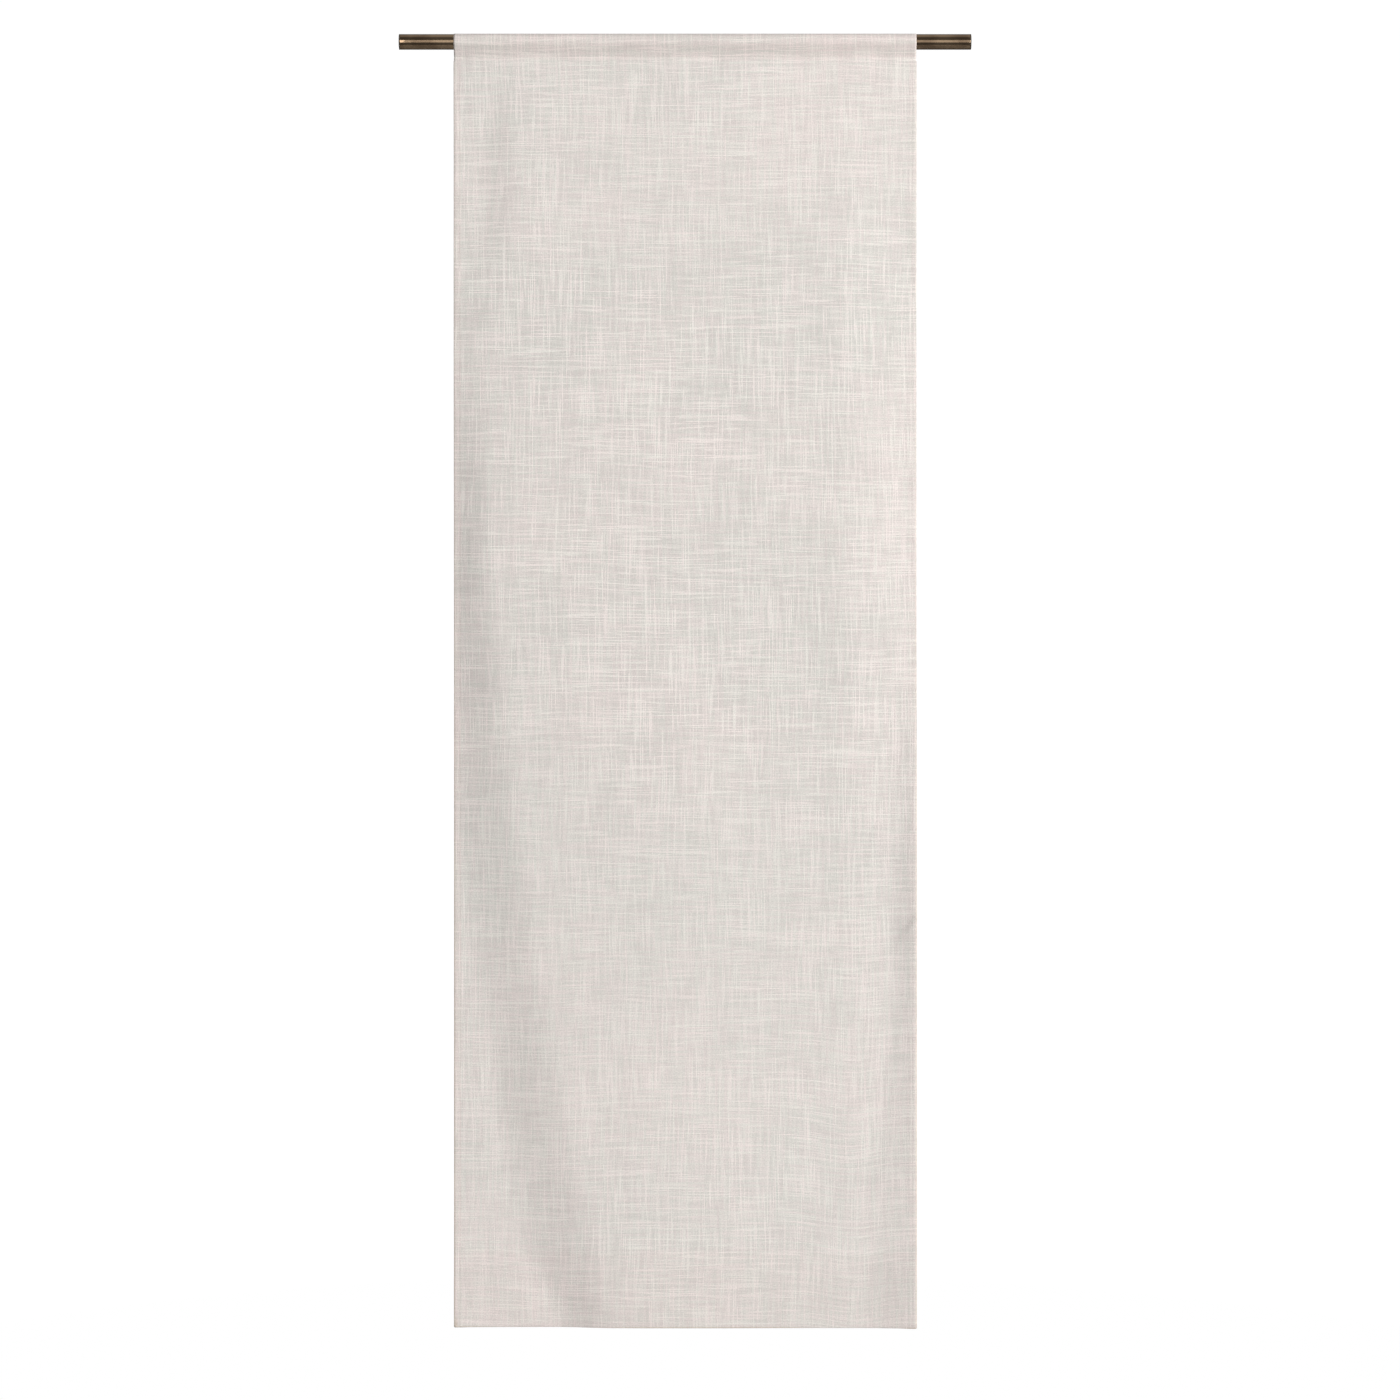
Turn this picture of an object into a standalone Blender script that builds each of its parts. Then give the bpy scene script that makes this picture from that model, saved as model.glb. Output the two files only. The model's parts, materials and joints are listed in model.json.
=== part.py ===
"""A flat-hung fabric curtain panel with a sewn rod pocket, on a plain metal curtain rod.

Units are metres and +Z is up. The rod lies along X with the origin on its axis at mid-length,
and the curtain's right side faces -Y. The cloth hangs from the rod, so the panel reaches far below
the origin. Places on the cloth are given as s, the distance from its left edge, and h, the drop
below the pocket's lower edge, where the single cloth starts.
"""

import math

import bmesh
import bpy
from mathutils import Vector

COLLECTION = "fabric_room_curtain_panel"

# Curtain rod: a round steel tube with a push-in plug at each end
ROD_LENGTH = 0.943
ROD_RADIUS = 0.0127
ROD_WALL = 0.0012
PLUG_HEAD = 0.0015
PLUG_SPIGOT = 0.014
PLUG_EDGE = 0.0004
ROD_SIDES = 32

# Curtain: finished size of the sewn panel
PANEL_WIDTH = 0.762
PANEL_LENGTH = 2.134
CLOTH = 0.0008

# Rod pocket: the cloth goes over the rod and is sewn to its own back
POCKET_DEPTH = 0.040
POCKET_TAIL = 0.003
POCKET_FLAT = 0.001
POCKET_ARC_STEPS = 26

# Hems: turned to the back and sewn down
SIDE_HEM = 0.010
BOTTOM_HEM = 0.127
HEM_LAYERS = 0.0012
HEM_START = 0.004
STITCH_MARGIN = 0.002

# Sewing thread, laid on the cloth as a thin strip, and the bar tacks that end the pocket seam
THREAD = 0.0004
THREAD_WIDTH = 0.0006
TACK_LENGTH = 0.010
TACK_HEIGHT = 0.0018
TACK_INSET = 0.003

# Care label: a blank tape that lies on the back, sewn down along the side hem
LABEL_WIDTH = 0.030
LABEL_LENGTH = 0.055
LABEL_TAPE = 0.0004
LABEL_ABOVE_HEM = 0.060

# Clearances: between touching pieces, and between the pocket and the panel that bends below it
GAP = 0.0003
BEND_GAP = 0.0005

# Drape: how far the cloth leaves its plane, all of it towards the back
LEFT_ROLL_DEPTH = 0.009
LEFT_ROLL_WIDTH = 0.060
LEFT_ROLL_LINE = 0.034
DIAGONAL_START = 1.05
DIAGONAL_REACH = 0.186
DIAGONAL_BEND = 1.9
DIAGONAL_DEPTH = 0.006
DIAGONAL_WIDTH = 0.050
RIGHT_ROLL_DEPTH = 0.008
RIGHT_ROLL_WIDTH = 0.085
DRAPE_START = 0.45
WAVE_DEPTH = 0.002
WAVE_LENGTH = 0.41
COLUMN_COUNT = 18
ROW_COUNT = 34
HEM_ROWS = 3
NORMAL_STEP = 0.001

# Worked out from the sizes above
COVER_RADIUS = ROD_RADIUS + GAP + CLOTH / 2
TOP_Z = COVER_RADIUS + CLOTH / 2
STITCH_Z = TOP_Z - POCKET_DEPTH
BEND_Z = STITCH_Z - POCKET_TAIL
LAYER_Y = (CLOTH + GAP) / 2
DROP = PANEL_LENGTH - POCKET_DEPTH - POCKET_TAIL
HEM_LIFT = CLOTH / 2 + GAP + HEM_LAYERS / 2
FRONT_THREAD_LIFT = -(CLOTH / 2 + GAP + THREAD / 2)
BACK_THREAD_LIFT = CLOTH / 2 + GAP + HEM_LAYERS + GAP + THREAD / 2
LABEL_LIFT = CLOTH / 2 + GAP + LABEL_TAPE / 2
LABEL_THREAD_LIFT = LABEL_LIFT + LABEL_TAPE / 2 + GAP + THREAD / 2

CLOTH_COLOUR = (0.70, 0.66, 0.62, 1.0)
THREAD_COLOUR = (0.72, 0.68, 0.63, 1.0)
ROD_COLOUR = (0.16, 0.12, 0.08, 1.0)
PLUG_COLOUR = (0.09, 0.07, 0.05, 1.0)
LABEL_COLOUR = (0.82, 0.81, 0.79, 1.0)


def clear_scene():
    """Remove every object that the scene starts with."""
    for old in list(bpy.data.objects):
        bpy.data.objects.remove(old, do_unlink=True)


def new_collection():
    """Make the collection that holds the curtain's parts."""
    parts = bpy.data.collections.new(COLLECTION)
    bpy.context.scene.collection.children.link(parts)
    return parts


def finish(name, colour, roughness, metallic=0.0):
    """Make a Principled material."""
    material = bpy.data.materials.new(name)
    material.use_nodes = True
    shader = material.node_tree.nodes["Principled BSDF"]
    shader.inputs["Base Color"].default_value = colour
    shader.inputs["Roughness"].default_value = roughness
    shader.inputs["Metallic"].default_value = metallic
    return material


def add_part(parts, name, mesh_builder, material, parent=None):
    """Turn a bmesh into one named part of the curtain."""
    mesh = bpy.data.meshes.new(name)
    mesh_builder.to_mesh(mesh)
    mesh_builder.free()
    part = bpy.data.objects.new(name, mesh)
    part.data.materials.append(material)
    part.parent = parent
    parts.objects.link(part)
    return part


def add_pivot(parts, name, location, parent=None):
    """Add an empty at a joint, for the pieces that move with it."""
    pivot = bpy.data.objects.new(name, None)
    pivot.location = location
    pivot.parent = parent
    parts.objects.link(pivot)
    return pivot


def smooth(value):
    """Ease from 0 to 1 as value goes from 0 to 1."""
    value = min(max(value, 0.0), 1.0)
    return value * value * (3.0 - 2.0 * value)


# Turned parts

def turned(parts, name, profile, material, parent):
    """Turn a closed or axis-to-axis profile of (radius, height) about the rod's axis."""
    builder = bmesh.new()
    corners = [builder.verts.new((radius, 0.0, height)) for radius, height in profile]
    for start, end in zip(corners, corners[1:]):
        builder.edges.new((start, end))
    if profile[0][0] > 0.0:
        builder.edges.new((corners[-1], corners[0]))
    part = add_part(parts, name, builder, material, parent)
    screw = part.modifiers.new("turn", "SCREW")
    screw.axis = "Z"
    screw.steps = ROD_SIDES
    screw.render_steps = ROD_SIDES
    screw.use_merge_vertices = True
    screw.merge_threshold = 0.00001
    return part


def add_rod_tube(parts, material, parent):
    """The steel tube, as long as the rod less its two plug heads."""
    half = ROD_LENGTH / 2 - PLUG_HEAD - GAP
    bore = ROD_RADIUS - ROD_WALL
    profile = [(ROD_RADIUS, half), (ROD_RADIUS, -half), (bore, -half), (bore, half)]
    tube = turned(parts, "rod_tube", profile, material, parent)
    tube.rotation_euler = (0.0, math.pi / 2, 0.0)
    return tube


def add_end_plug(parts, name, side, material, parent):
    """A plug whose spigot sits in the tube and whose head is as wide as the tube."""
    spigot = ROD_RADIUS - ROD_WALL - GAP
    profile = [
        (0.0, PLUG_HEAD),
        (ROD_RADIUS - PLUG_EDGE, PLUG_HEAD),
        (ROD_RADIUS, PLUG_HEAD - PLUG_EDGE),
        (ROD_RADIUS, 0.0),
        (spigot, 0.0),
        (spigot, -PLUG_SPIGOT),
        (0.0, -PLUG_SPIGOT),
    ]
    plug = turned(parts, name, profile, material, parent)
    plug.location = (side * (ROD_LENGTH / 2 - PLUG_HEAD), 0.0, 0.0)
    plug.rotation_euler = (0.0, side * math.pi / 2, 0.0)
    return plug


# Cloth surfaces

def roll_line(h):
    """Distance from the left edge to the line where the cloth comes forward, at drop h."""
    along = min(max((h - DIAGONAL_START) / (DROP - DIAGONAL_START), 0.0), 1.0)
    return LEFT_ROLL_LINE + DIAGONAL_REACH * along ** DIAGONAL_BEND


def drape(s, h):
    """How far behind its plane the cloth lies at s and h."""
    fall = smooth(h / DRAPE_START)
    low = smooth((h - DIAGONAL_START) / (DROP - DIAGONAL_START))
    width = LEFT_ROLL_WIDTH + DIAGONAL_WIDTH * low
    depth = LEFT_ROLL_DEPTH + DIAGONAL_DEPTH * low
    left = depth * (1.0 - smooth((s - roll_line(h)) / width + 0.5))
    right = RIGHT_ROLL_DEPTH * smooth((s - PANEL_WIDTH) / RIGHT_ROLL_WIDTH + 1.0)
    wave = WAVE_DEPTH * (1.0 - math.cos(math.tau * s / WAVE_LENGTH)) * (h / DROP) ** 2
    return fall * (left + right) + wave


def draped(s, h, lift):
    """A point on the hanging cloth, moved off it along its normal by lift."""
    slope_s = (drape(s + NORMAL_STEP, h) - drape(s - NORMAL_STEP, h)) / (2 * NORMAL_STEP)
    slope_h = (drape(s, h + NORMAL_STEP) - drape(s, h - NORMAL_STEP)) / (2 * NORMAL_STEP)
    normal = Vector((-slope_s, 1.0, slope_h)).normalized()
    hanging = Vector((s - PANEL_WIDTH / 2, drape(s, h), -h))
    return hanging + normal * lift


def cell(stations, place):
    """The station before a place, and how far the place is towards the next one."""
    index = 0
    while index < len(stations) - 2 and place > stations[index + 1]:
        index += 1
    return index, (place - stations[index]) / (stations[index + 1] - stations[index])


def column_stations():
    """Distances from the left edge that the cloth's facets turn at: the side hems and between."""
    inner = PANEL_WIDTH - 2 * SIDE_HEM
    between = [SIDE_HEM + inner * step / COLUMN_COUNT for step in range(COLUMN_COUNT + 1)]
    return [0.0] + between + [PANEL_WIDTH]


def row_stations():
    """Drops that the cloth's facets turn at, down to the bottom hem and through it."""
    above = DROP - BOTTOM_HEM
    upper = [BEND_GAP + (above - BEND_GAP) * step / ROW_COUNT for step in range(ROW_COUNT + 1)]
    return upper + [above + BOTTOM_HEM * step / HEM_ROWS for step in range(1, HEM_ROWS + 1)]


COLUMNS = column_stations()
ROWS = row_stations()


def on_facet(s, h, lift):
    """A point on the cloth's flat facets, lifted off them, so that what lies on it stays clear."""
    column, across = cell(COLUMNS, s)
    row, down = cell(ROWS, h)
    upper = draped(COLUMNS[column], ROWS[row], lift).lerp(
        draped(COLUMNS[column + 1], ROWS[row], lift), across)
    lower = draped(COLUMNS[column], ROWS[row + 1], lift).lerp(
        draped(COLUMNS[column + 1], ROWS[row + 1], lift), across)
    return upper.lerp(lower, down)


def thicken(part, thickness):
    """Give an open sheet its thickness, half of it on each side."""
    split = part.modifiers.new("facets", "TRIANGULATE")
    split.quad_method = "FIXED"
    solid = part.modifiers.new("thickness", "SOLIDIFY")
    solid.thickness = thickness
    solid.offset = 0.0


def add_sheet(parts, name, point, across, down, thickness, material, parent):
    """A sheet with a corner at each pair of stations, placed by point(s, h)."""
    builder = bmesh.new()
    rows = [[builder.verts.new(point(s, h)) for s in across] for h in down]
    for upper, lower in zip(rows, rows[1:]):
        for side in range(len(across) - 1):
            builder.faces.new((upper[side], lower[side], lower[side + 1], upper[side + 1]))
    part = add_part(parts, name, builder, material, parent)
    thicken(part, thickness)
    return part


def stations_between(stations, start, end):
    """The stations from start to end, with the two ends themselves."""
    inside = [place for place in stations if start + GAP < place < end - GAP]
    return [start] + inside + [end]


def add_cloth_layer(parts, name, across, down, lift, thickness, material, parent):
    """A layer that lies on the panel from across[0] to across[1] and down[0] to down[1]."""
    return add_sheet(
        parts, name, lambda s, h: on_facet(s, h, lift),
        stations_between(COLUMNS, *across), stations_between(ROWS, *down),
        thickness, material, parent)


# Rod pocket

def pocket_outline():
    """The pocket's middle line in (y, z): up the front, over the rod, and down the back."""
    meet_z = STITCH_Z + POCKET_FLAT
    reach = math.hypot(LAYER_Y, meet_z)
    turn = math.acos(COVER_RADIUS / reach) + math.atan2(LAYER_Y, -meet_z)
    arc = []
    for step in range(POCKET_ARC_STEPS + 1):
        angle = turn + (math.tau - 2 * turn) * step / POCKET_ARC_STEPS
        arc.append((-COVER_RADIUS * math.sin(angle), -COVER_RADIUS * math.cos(angle)))
    front = [(-LAYER_Y, BEND_Z), (-LAYER_Y, meet_z)]
    back = [(LAYER_Y, meet_z), (LAYER_Y, BEND_Z)]
    return front + arc + back


def add_rod_pocket(parts, material, parent):
    """The top of the cloth, looped over the rod."""
    outline = pocket_outline()
    return add_sheet(
        parts, "rod_pocket",
        lambda s, place: Vector((s - PANEL_WIDTH / 2, *outline[place])),
        [0.0, PANEL_WIDTH], list(range(len(outline))), CLOTH, material, parent)


def add_block(parts, name, size, centre, material, parent):
    """A plain block, for a flat stretch of thread."""
    builder = bmesh.new()
    bmesh.ops.create_cube(builder, size=1.0)
    bmesh.ops.scale(builder, vec=size, verts=builder.verts)
    bmesh.ops.translate(builder, vec=centre, verts=builder.verts)
    return add_part(parts, name, builder, material, parent)


def add_pocket_seam(parts, material, parent):
    """The lockstitch seam under the rod, and the bar tack at each of its ends."""
    face = LAYER_Y + CLOTH / 2 + GAP + THREAD / 2
    seam = PANEL_WIDTH - 2 * (TACK_INSET + TACK_LENGTH + GAP)
    size = (seam, THREAD, THREAD_WIDTH)
    add_block(parts, "pocket_needle_thread", size, (0.0, -face, STITCH_Z), material, parent)
    add_block(parts, "pocket_bobbin_thread", size, (0.0, face, STITCH_Z), material, parent)
    tack = (TACK_LENGTH, THREAD, TACK_HEIGHT)
    place = PANEL_WIDTH / 2 - TACK_INSET - TACK_LENGTH / 2
    for name, side in (("pocket_bartack_left", -1), ("pocket_bartack_right", 1)):
        add_block(parts, name, tack, (side * place, -face, STITCH_Z), material, parent)


# Panel

def add_face_panel(parts, material, parent):
    """The single cloth below the pocket, all the way to the bottom edge."""
    return add_cloth_layer(
        parts, "face_panel", (0.0, PANEL_WIDTH), (BEND_GAP, DROP), 0.0, CLOTH, material, parent)


def add_hems(parts, material, parent):
    """The cloth that is turned to the back along both sides and the bottom."""
    down = (HEM_START, DROP - BOTTOM_HEM - GAP)
    add_cloth_layer(
        parts, "side_hem_left", (0.0, SIDE_HEM), down, HEM_LIFT, HEM_LAYERS, material, parent)
    add_cloth_layer(
        parts, "side_hem_right", (PANEL_WIDTH - SIDE_HEM, PANEL_WIDTH), down,
        HEM_LIFT, HEM_LAYERS, material, parent)
    add_cloth_layer(
        parts, "bottom_hem", (0.0, PANEL_WIDTH), (DROP - BOTTOM_HEM, DROP),
        HEM_LIFT, HEM_LAYERS, material, parent)


def add_hem_threads(parts, material, parent):
    """The needle thread on the front and the bobbin thread on the back of each hem seam."""
    down = (HEM_START, DROP - BOTTOM_HEM - GAP)
    left = SIDE_HEM - STITCH_MARGIN
    right = PANEL_WIDTH - left
    low = DROP - BOTTOM_HEM + STITCH_MARGIN
    half = THREAD_WIDTH / 2
    seams = (
        ("side_hem_{}_left", (left - half, left + half), down),
        ("side_hem_{}_right", (right - half, right + half), down),
        ("bottom_hem_{}", (STITCH_MARGIN, PANEL_WIDTH - STITCH_MARGIN), (low - half, low + half)),
    )
    for name, across, along in seams:
        add_cloth_layer(parts, name.format("needle_thread"), across, along,
                        FRONT_THREAD_LIFT, THREAD, material, parent)
        add_cloth_layer(parts, name.format("bobbin_thread"), across, along,
                        BACK_THREAD_LIFT, THREAD, material, parent)


def add_care_label(parts, material, thread, parent):
    """A blank care label on the back, held along the side hem by a short seam of its own."""
    low = DROP - BOTTOM_HEM - LABEL_ABOVE_HEM
    edge = SIDE_HEM + GAP
    down = (low - LABEL_WIDTH, low)
    seam = (edge + STITCH_MARGIN, edge + STITCH_MARGIN + THREAD_WIDTH)
    add_cloth_layer(
        parts, "care_label", (edge, edge + LABEL_LENGTH), down,
        LABEL_LIFT, LABEL_TAPE, material, parent)
    add_cloth_layer(
        parts, "care_label_thread", seam, (down[0] + STITCH_MARGIN, down[1] - STITCH_MARGIN),
        LABEL_THREAD_LIFT, THREAD, thread, parent)


def main():
    clear_scene()
    parts = new_collection()
    cloth = finish("slub_cloth", CLOTH_COLOUR, 0.9)
    thread = finish("sewing_thread", THREAD_COLOUR, 0.7)
    bronze = finish("bronzed_steel", ROD_COLOUR, 0.35, 0.9)
    plastic = finish("plug_plastic", PLUG_COLOUR, 0.5)
    tape = finish("label_tape", LABEL_COLOUR, 0.6)

    rod = add_pivot(parts, "rod_axis", (0.0, 0.0, 0.0))
    add_rod_tube(parts, bronze, rod)
    add_end_plug(parts, "rod_end_plug_left", -1, plastic, rod)
    add_end_plug(parts, "rod_end_plug_right", 1, plastic, rod)

    header = add_pivot(parts, "header_pivot", (0.0, 0.0, 0.0), rod)
    add_rod_pocket(parts, cloth, header)
    add_pocket_seam(parts, thread, header)

    panel = add_pivot(parts, "panel_pivot", (0.0, -LAYER_Y, BEND_Z), header)
    add_face_panel(parts, cloth, panel)
    add_hems(parts, cloth, panel)
    add_hem_threads(parts, thread, panel)
    add_care_label(parts, tape, thread, panel)


main()
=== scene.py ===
"""Looks of a fabric curtain panel with a rod pocket, on a bronzed rod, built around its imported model.

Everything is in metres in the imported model's own frame: X runs along the rod, the curtain's right
side faces -Y and the cloth hangs down along -Z. A place on the cloth is (s, t): s is the distance
from its left edge, and t the distance along the cloth from the sewn edge behind the pocket, over
the rod and down to the bottom fold.
"""

import json
import math

import bmesh
import bpy
from bpy.props import FloatProperty, FloatVectorProperty, IntProperty, PointerProperty
from mathutils import Matrix, Vector, noise

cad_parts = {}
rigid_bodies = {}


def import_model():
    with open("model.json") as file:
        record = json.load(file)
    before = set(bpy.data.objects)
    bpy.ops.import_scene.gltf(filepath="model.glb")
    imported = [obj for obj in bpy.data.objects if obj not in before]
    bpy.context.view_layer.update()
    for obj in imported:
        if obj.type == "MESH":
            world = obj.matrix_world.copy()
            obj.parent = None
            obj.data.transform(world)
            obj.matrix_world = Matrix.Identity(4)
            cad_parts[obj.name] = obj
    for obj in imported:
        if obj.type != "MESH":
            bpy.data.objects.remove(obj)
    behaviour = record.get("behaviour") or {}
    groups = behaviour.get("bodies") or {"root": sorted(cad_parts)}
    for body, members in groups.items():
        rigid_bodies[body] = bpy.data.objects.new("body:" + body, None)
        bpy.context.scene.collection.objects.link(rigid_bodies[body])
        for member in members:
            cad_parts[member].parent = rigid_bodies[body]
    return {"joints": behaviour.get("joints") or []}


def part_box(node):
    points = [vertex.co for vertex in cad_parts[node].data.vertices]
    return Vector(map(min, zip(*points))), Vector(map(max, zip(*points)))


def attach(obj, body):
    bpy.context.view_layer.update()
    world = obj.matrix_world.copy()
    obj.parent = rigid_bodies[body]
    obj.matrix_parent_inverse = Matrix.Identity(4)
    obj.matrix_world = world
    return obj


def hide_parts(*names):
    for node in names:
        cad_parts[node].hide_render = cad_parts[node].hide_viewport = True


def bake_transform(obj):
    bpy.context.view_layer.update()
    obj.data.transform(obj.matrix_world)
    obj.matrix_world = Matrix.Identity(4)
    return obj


bl_info = {
    "name": "Rod Pocket Curtain Panel",
    "version": (1, 0, 0),
    "blender": (4, 5, 0),
    "location": "View3D > Sidebar > Curtain",
    "description": "Hangs a slub cloth curtain panel on a bronzed rod, with its hems, seams and label",
    "category": "Object",
}

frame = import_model()

# Places that the frame gives
JOINTS = {joint["name"]: joint for joint in frame["joints"]}
BEND = Vector(JOINTS["panel_swing"]["pos_m"])
POCKET_LOW, POCKET_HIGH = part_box("rod_pocket")
PANEL_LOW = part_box("face_panel")[0]
TUBE_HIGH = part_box("rod_tube")[1]
PLUG_LOW, PLUG_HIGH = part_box("rod_end_plug_right")
SEAM_LOW, SEAM_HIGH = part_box("pocket_needle_thread")
LABEL_LOW, LABEL_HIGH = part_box("care_label")

WIDTH = POCKET_HIGH.x - POCKET_LOW.x
LEFT_X = POCKET_LOW.x
DROP = BEND.z - PANEL_LOW.z
ROD_RADIUS = TUBE_HIGH.z
COVER_RADIUS = (POCKET_HIGH.z + ROD_RADIUS) / 2
STITCH_Z = (SEAM_LOW.z + SEAM_HIGH.z) / 2
LAYER_Y = -BEND.y

# The drape, in metres. What changes down the cloth is given as its value at the pocket's seam, then
# eased steps, each (change, drop below the seam where it starts, drop that it takes).
# The left edge hangs back: how far in the middle of its slope lies, how wide and how deep the slope is,
# and how it sweeps inward lower down
LEFT_LINE = 0.074, ((-0.058, 0.22, 0.30), (0.012, 1.95, 0.12))
LEFT_WIDTH = 0.058, ((0.038, 0.22, 0.26), (0.032, 0.80, 0.35), (0.012, 1.55, 0.30), (-0.050, 1.93, 0.15))
LEFT_DEPTH = 0.0, ((0.0046, 0.0, 0.16), (0.0124, 0.32, 0.60), (-0.0022, 1.05, 0.35),
                   (-0.0036, 1.90, 0.16), (-0.0019, 0.20, 0.20), (0.0019, 0.60, 0.14))
SWEEP_START = 0.80
SWEEP_REACH = 0.188
SWEEP_BEND = 1.60

# The right edge rolls back from a line beside it, and lower down it curls forward; the curl's width is
# in shares of its reach
RIGHT_BACK = 0.0, ((0.0088, 0.0, 0.40), (-0.00704, 0.78, 0.45))
RIGHT_BACK_START = 0.130
RIGHT_BACK_WIDTH = 0.165
RIGHT_CURL = 0.0, ((0.0070, 0.90, 0.45), (0.0016, 1.50, 0.30))
RIGHT_CURL_REACH = 0.046, ((0.042, 1.50, 0.40),)
RIGHT_CURL_WIDTH = 1.35

# The wrinkle: where it meets the right edge, its drop for each step inward, its depth, the distances
# over which it rises, fades downward and fades inward, and how far inward and down it is worked out
WRINKLE_DROP = 1.412
WRINKLE_SLANT = 1.30
WRINKLE_DEPTH = 0.0028
WRINKLE_RISE = 0.011
WRINKLE_FADE = 0.035
WRINKLE_REACH = 0.038
WRINKLE_LIMITS = 0.12, 0.30

# The shallow wave of the bottom, the edges that the side hems keep stiff (width and softness), and the
# hollows all over (width, height and seed of each size, and the drop over which they come in)
WAVE_DEPTH = 0.0012
WAVE_LENGTH = 0.41
STIFF_LEFT = 0.004, 0.003
STIFF_RIGHT = 0.003, 0.002
HOLLOWS = (0.21, 0.55, 5.1), (0.08, 0.26, 8.2)
HOLLOWS_DROP = 0.25

# The pocket: flat beside its seam, flared out to where it leaves the rod, round the rod, and its raw
# edge tucked in behind
POCKET_FLAT = 0.001
POCKET_STEPS = 40
POCKET_LEAVE = math.radians(62)
FLARE_STEPS = 14
FLARE_BEND = 0.48
POCKET_TUCK = 0.0034
TUCK_CLEAR = 0.0003
TUCK_STEPS = 6

# The hems: the cloth tucked in and taken up by the bottom turn, where the side hems start and where
# the bottom hem's sides end, the folds' radius in thicknesses, and the share of a side hem turned under
HEM_TUCK = 0.012
HEM_TURN = 0.004
HEM_TURN_STEPS = 6
HEM_START = 0.0015
HEM_SIDES_END = 0.014
FOLD_RADIUS = 1.1
FOLD_BACK = 0.7
SEAM_MARGIN = 0.002

# How far down from the hinge the rows lie closer and the seam puckers and the hems' thickness come in, and
# its rows there
BEND_LENGTH = 0.030
BEND_ROWS = 14

# The turned-up layer's distance behind the face, in thicknesses: anywhere, and more over the side hems
HEM_LIFT = 2.6
HEM_LIFT_SIDES = 1.8
HEM_LIFT_EASE = 0.015

# The cloth's small relief: how far ripples, puckers and tacks reach, and how deep the stitches pull in
RIPPLE_LONG = 0.021
RIPPLE_SHORT = 0.009
SEAM_GROOVE = 0.0009
GROOVE_DEPTH = 0.00022
PUCKER_BELOW = 0.018
PUCKER_ABOVE = 0.008
PUCKER_SIDE = 0.013
PUCKER_HEM = 0.012
TACK_INWARD = 0.008
TACK_WIDTH = 0.007
TACK_HEIGHT = 0.005
HEM_THICKENS = 0.00025
HEM_EASE = 0.003
NORMAL_STEP = 0.0008

# The weave's rows dip low down, each dip as (depth, distance from the left edge, width), and wander
# a little at the top
GRAIN_DIPS = (0.010, 0.655, 0.055), (0.004, 0.150, 0.090)
GRAIN_DIP_START = 1.25
GRAIN_DIP_LENGTH = 0.55
GRAIN_WANDER = 0.0016
GRAIN_WANDER_WIDTH = 0.055

# The care label: its faces, its thickness, how its free end curls up, and the seam at its sewn end
LABEL_ROWS = 12
LABEL_COLUMNS = 24
LABEL_THICKNESS = 0.0003
LABEL_CURL = 0.0030
LABEL_FLAT = 0.35
LABEL_LIFT = 0.0002
LABEL_SEAM_IN = 0.0023
LABEL_SEAM_END = 0.002

# The rod: its wall, the rings of its outside, and the gap round a plug
TUBE_WALL = 0.0012
TUBE_STATIONS = 12
TUBE_END = 0.01
PLUG_CLEAR = 0.0003

# The studio
FLOOR_RADIUS = 1.7
FLOOR_BELOW = 0.16
WHITE_STRENGTH = 1.02
WHITE = (1.0, 1.0, 1.0, 1.0)


def length_of(name, description, default, low, high, digits=4):
    """A setting in metres."""
    return FloatProperty(name=name, description=description, default=default, min=low, max=high,
                         precision=digits, unit="LENGTH")


def colour_of(name, description, default, high=1.0):
    """A colour setting."""
    return FloatVectorProperty(name=name, description=description, default=default, min=0.0, max=high,
                               subtype="COLOR")


def power_of(name, description, default):
    """A light's power, in watts."""
    return FloatProperty(name=name, description=description, default=default, min=0.0, max=5000.0,
                         unit="POWER")


class CurtainClothSettings(bpy.types.PropertyGroup):
    """Sizes of the sewn cloth."""

    thickness: length_of("Cloth Thickness", "Thickness of one layer of cloth", 0.0005, 0.0002, 0.002, 5)
    facet: length_of("Facet", "Side of one face of the cloth's mesh", 0.005, 0.003, 0.03)
    side_hem: length_of("Side Hem", "Width of the cloth turned back along each side", 0.010, 0.005, 0.05)
    bottom_hem: length_of("Bottom Hem", "Depth of the cloth turned up at the bottom", 0.127, 0.02, 0.2)
    pucker: length_of("Seam Pucker", "Height of the small ripples along a seam", 0.0006, 0.0, 0.003, 5)
    softness: length_of("Softness", "Depth of the cloth's broad, shallow unevenness", 0.0011, 0.0, 0.01)


class CurtainWeaveSettings(bpy.types.PropertyGroup):
    """Colours and yarn of the slub weave."""

    ground: colour_of("Ground Yarn", "Colour of the plain yarn", (0.630, 0.599, 0.565))
    slub: colour_of("Slub Yarn", "Colour of the thick, pale stretches of yarn", (0.862, 0.806, 0.764))
    blush: colour_of("Blush", "Colour that the cloth leans to in its warmer patches", (0.730, 0.655, 0.625))
    # Painted shade: this tint stands in for the light that shines less through cloth lying in more layers
    layered: colour_of("Layered", "Tint of the cloth where more than one layer lies together",
                       (1.004, 0.975, 0.975), high=2.0)
    yarn_pitch: length_of("Yarn Pitch", "Distance from one yarn to the next", 0.0009, 0.0003, 0.005, 5)
    slub_pitch: length_of("Slub Pitch", "Width of one row that may hold a slub", 0.0017, 0.0005, 0.01, 5)
    slub_length: length_of("Slub Length", "Usual length of one slub", 0.088, 0.01, 0.5)


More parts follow.
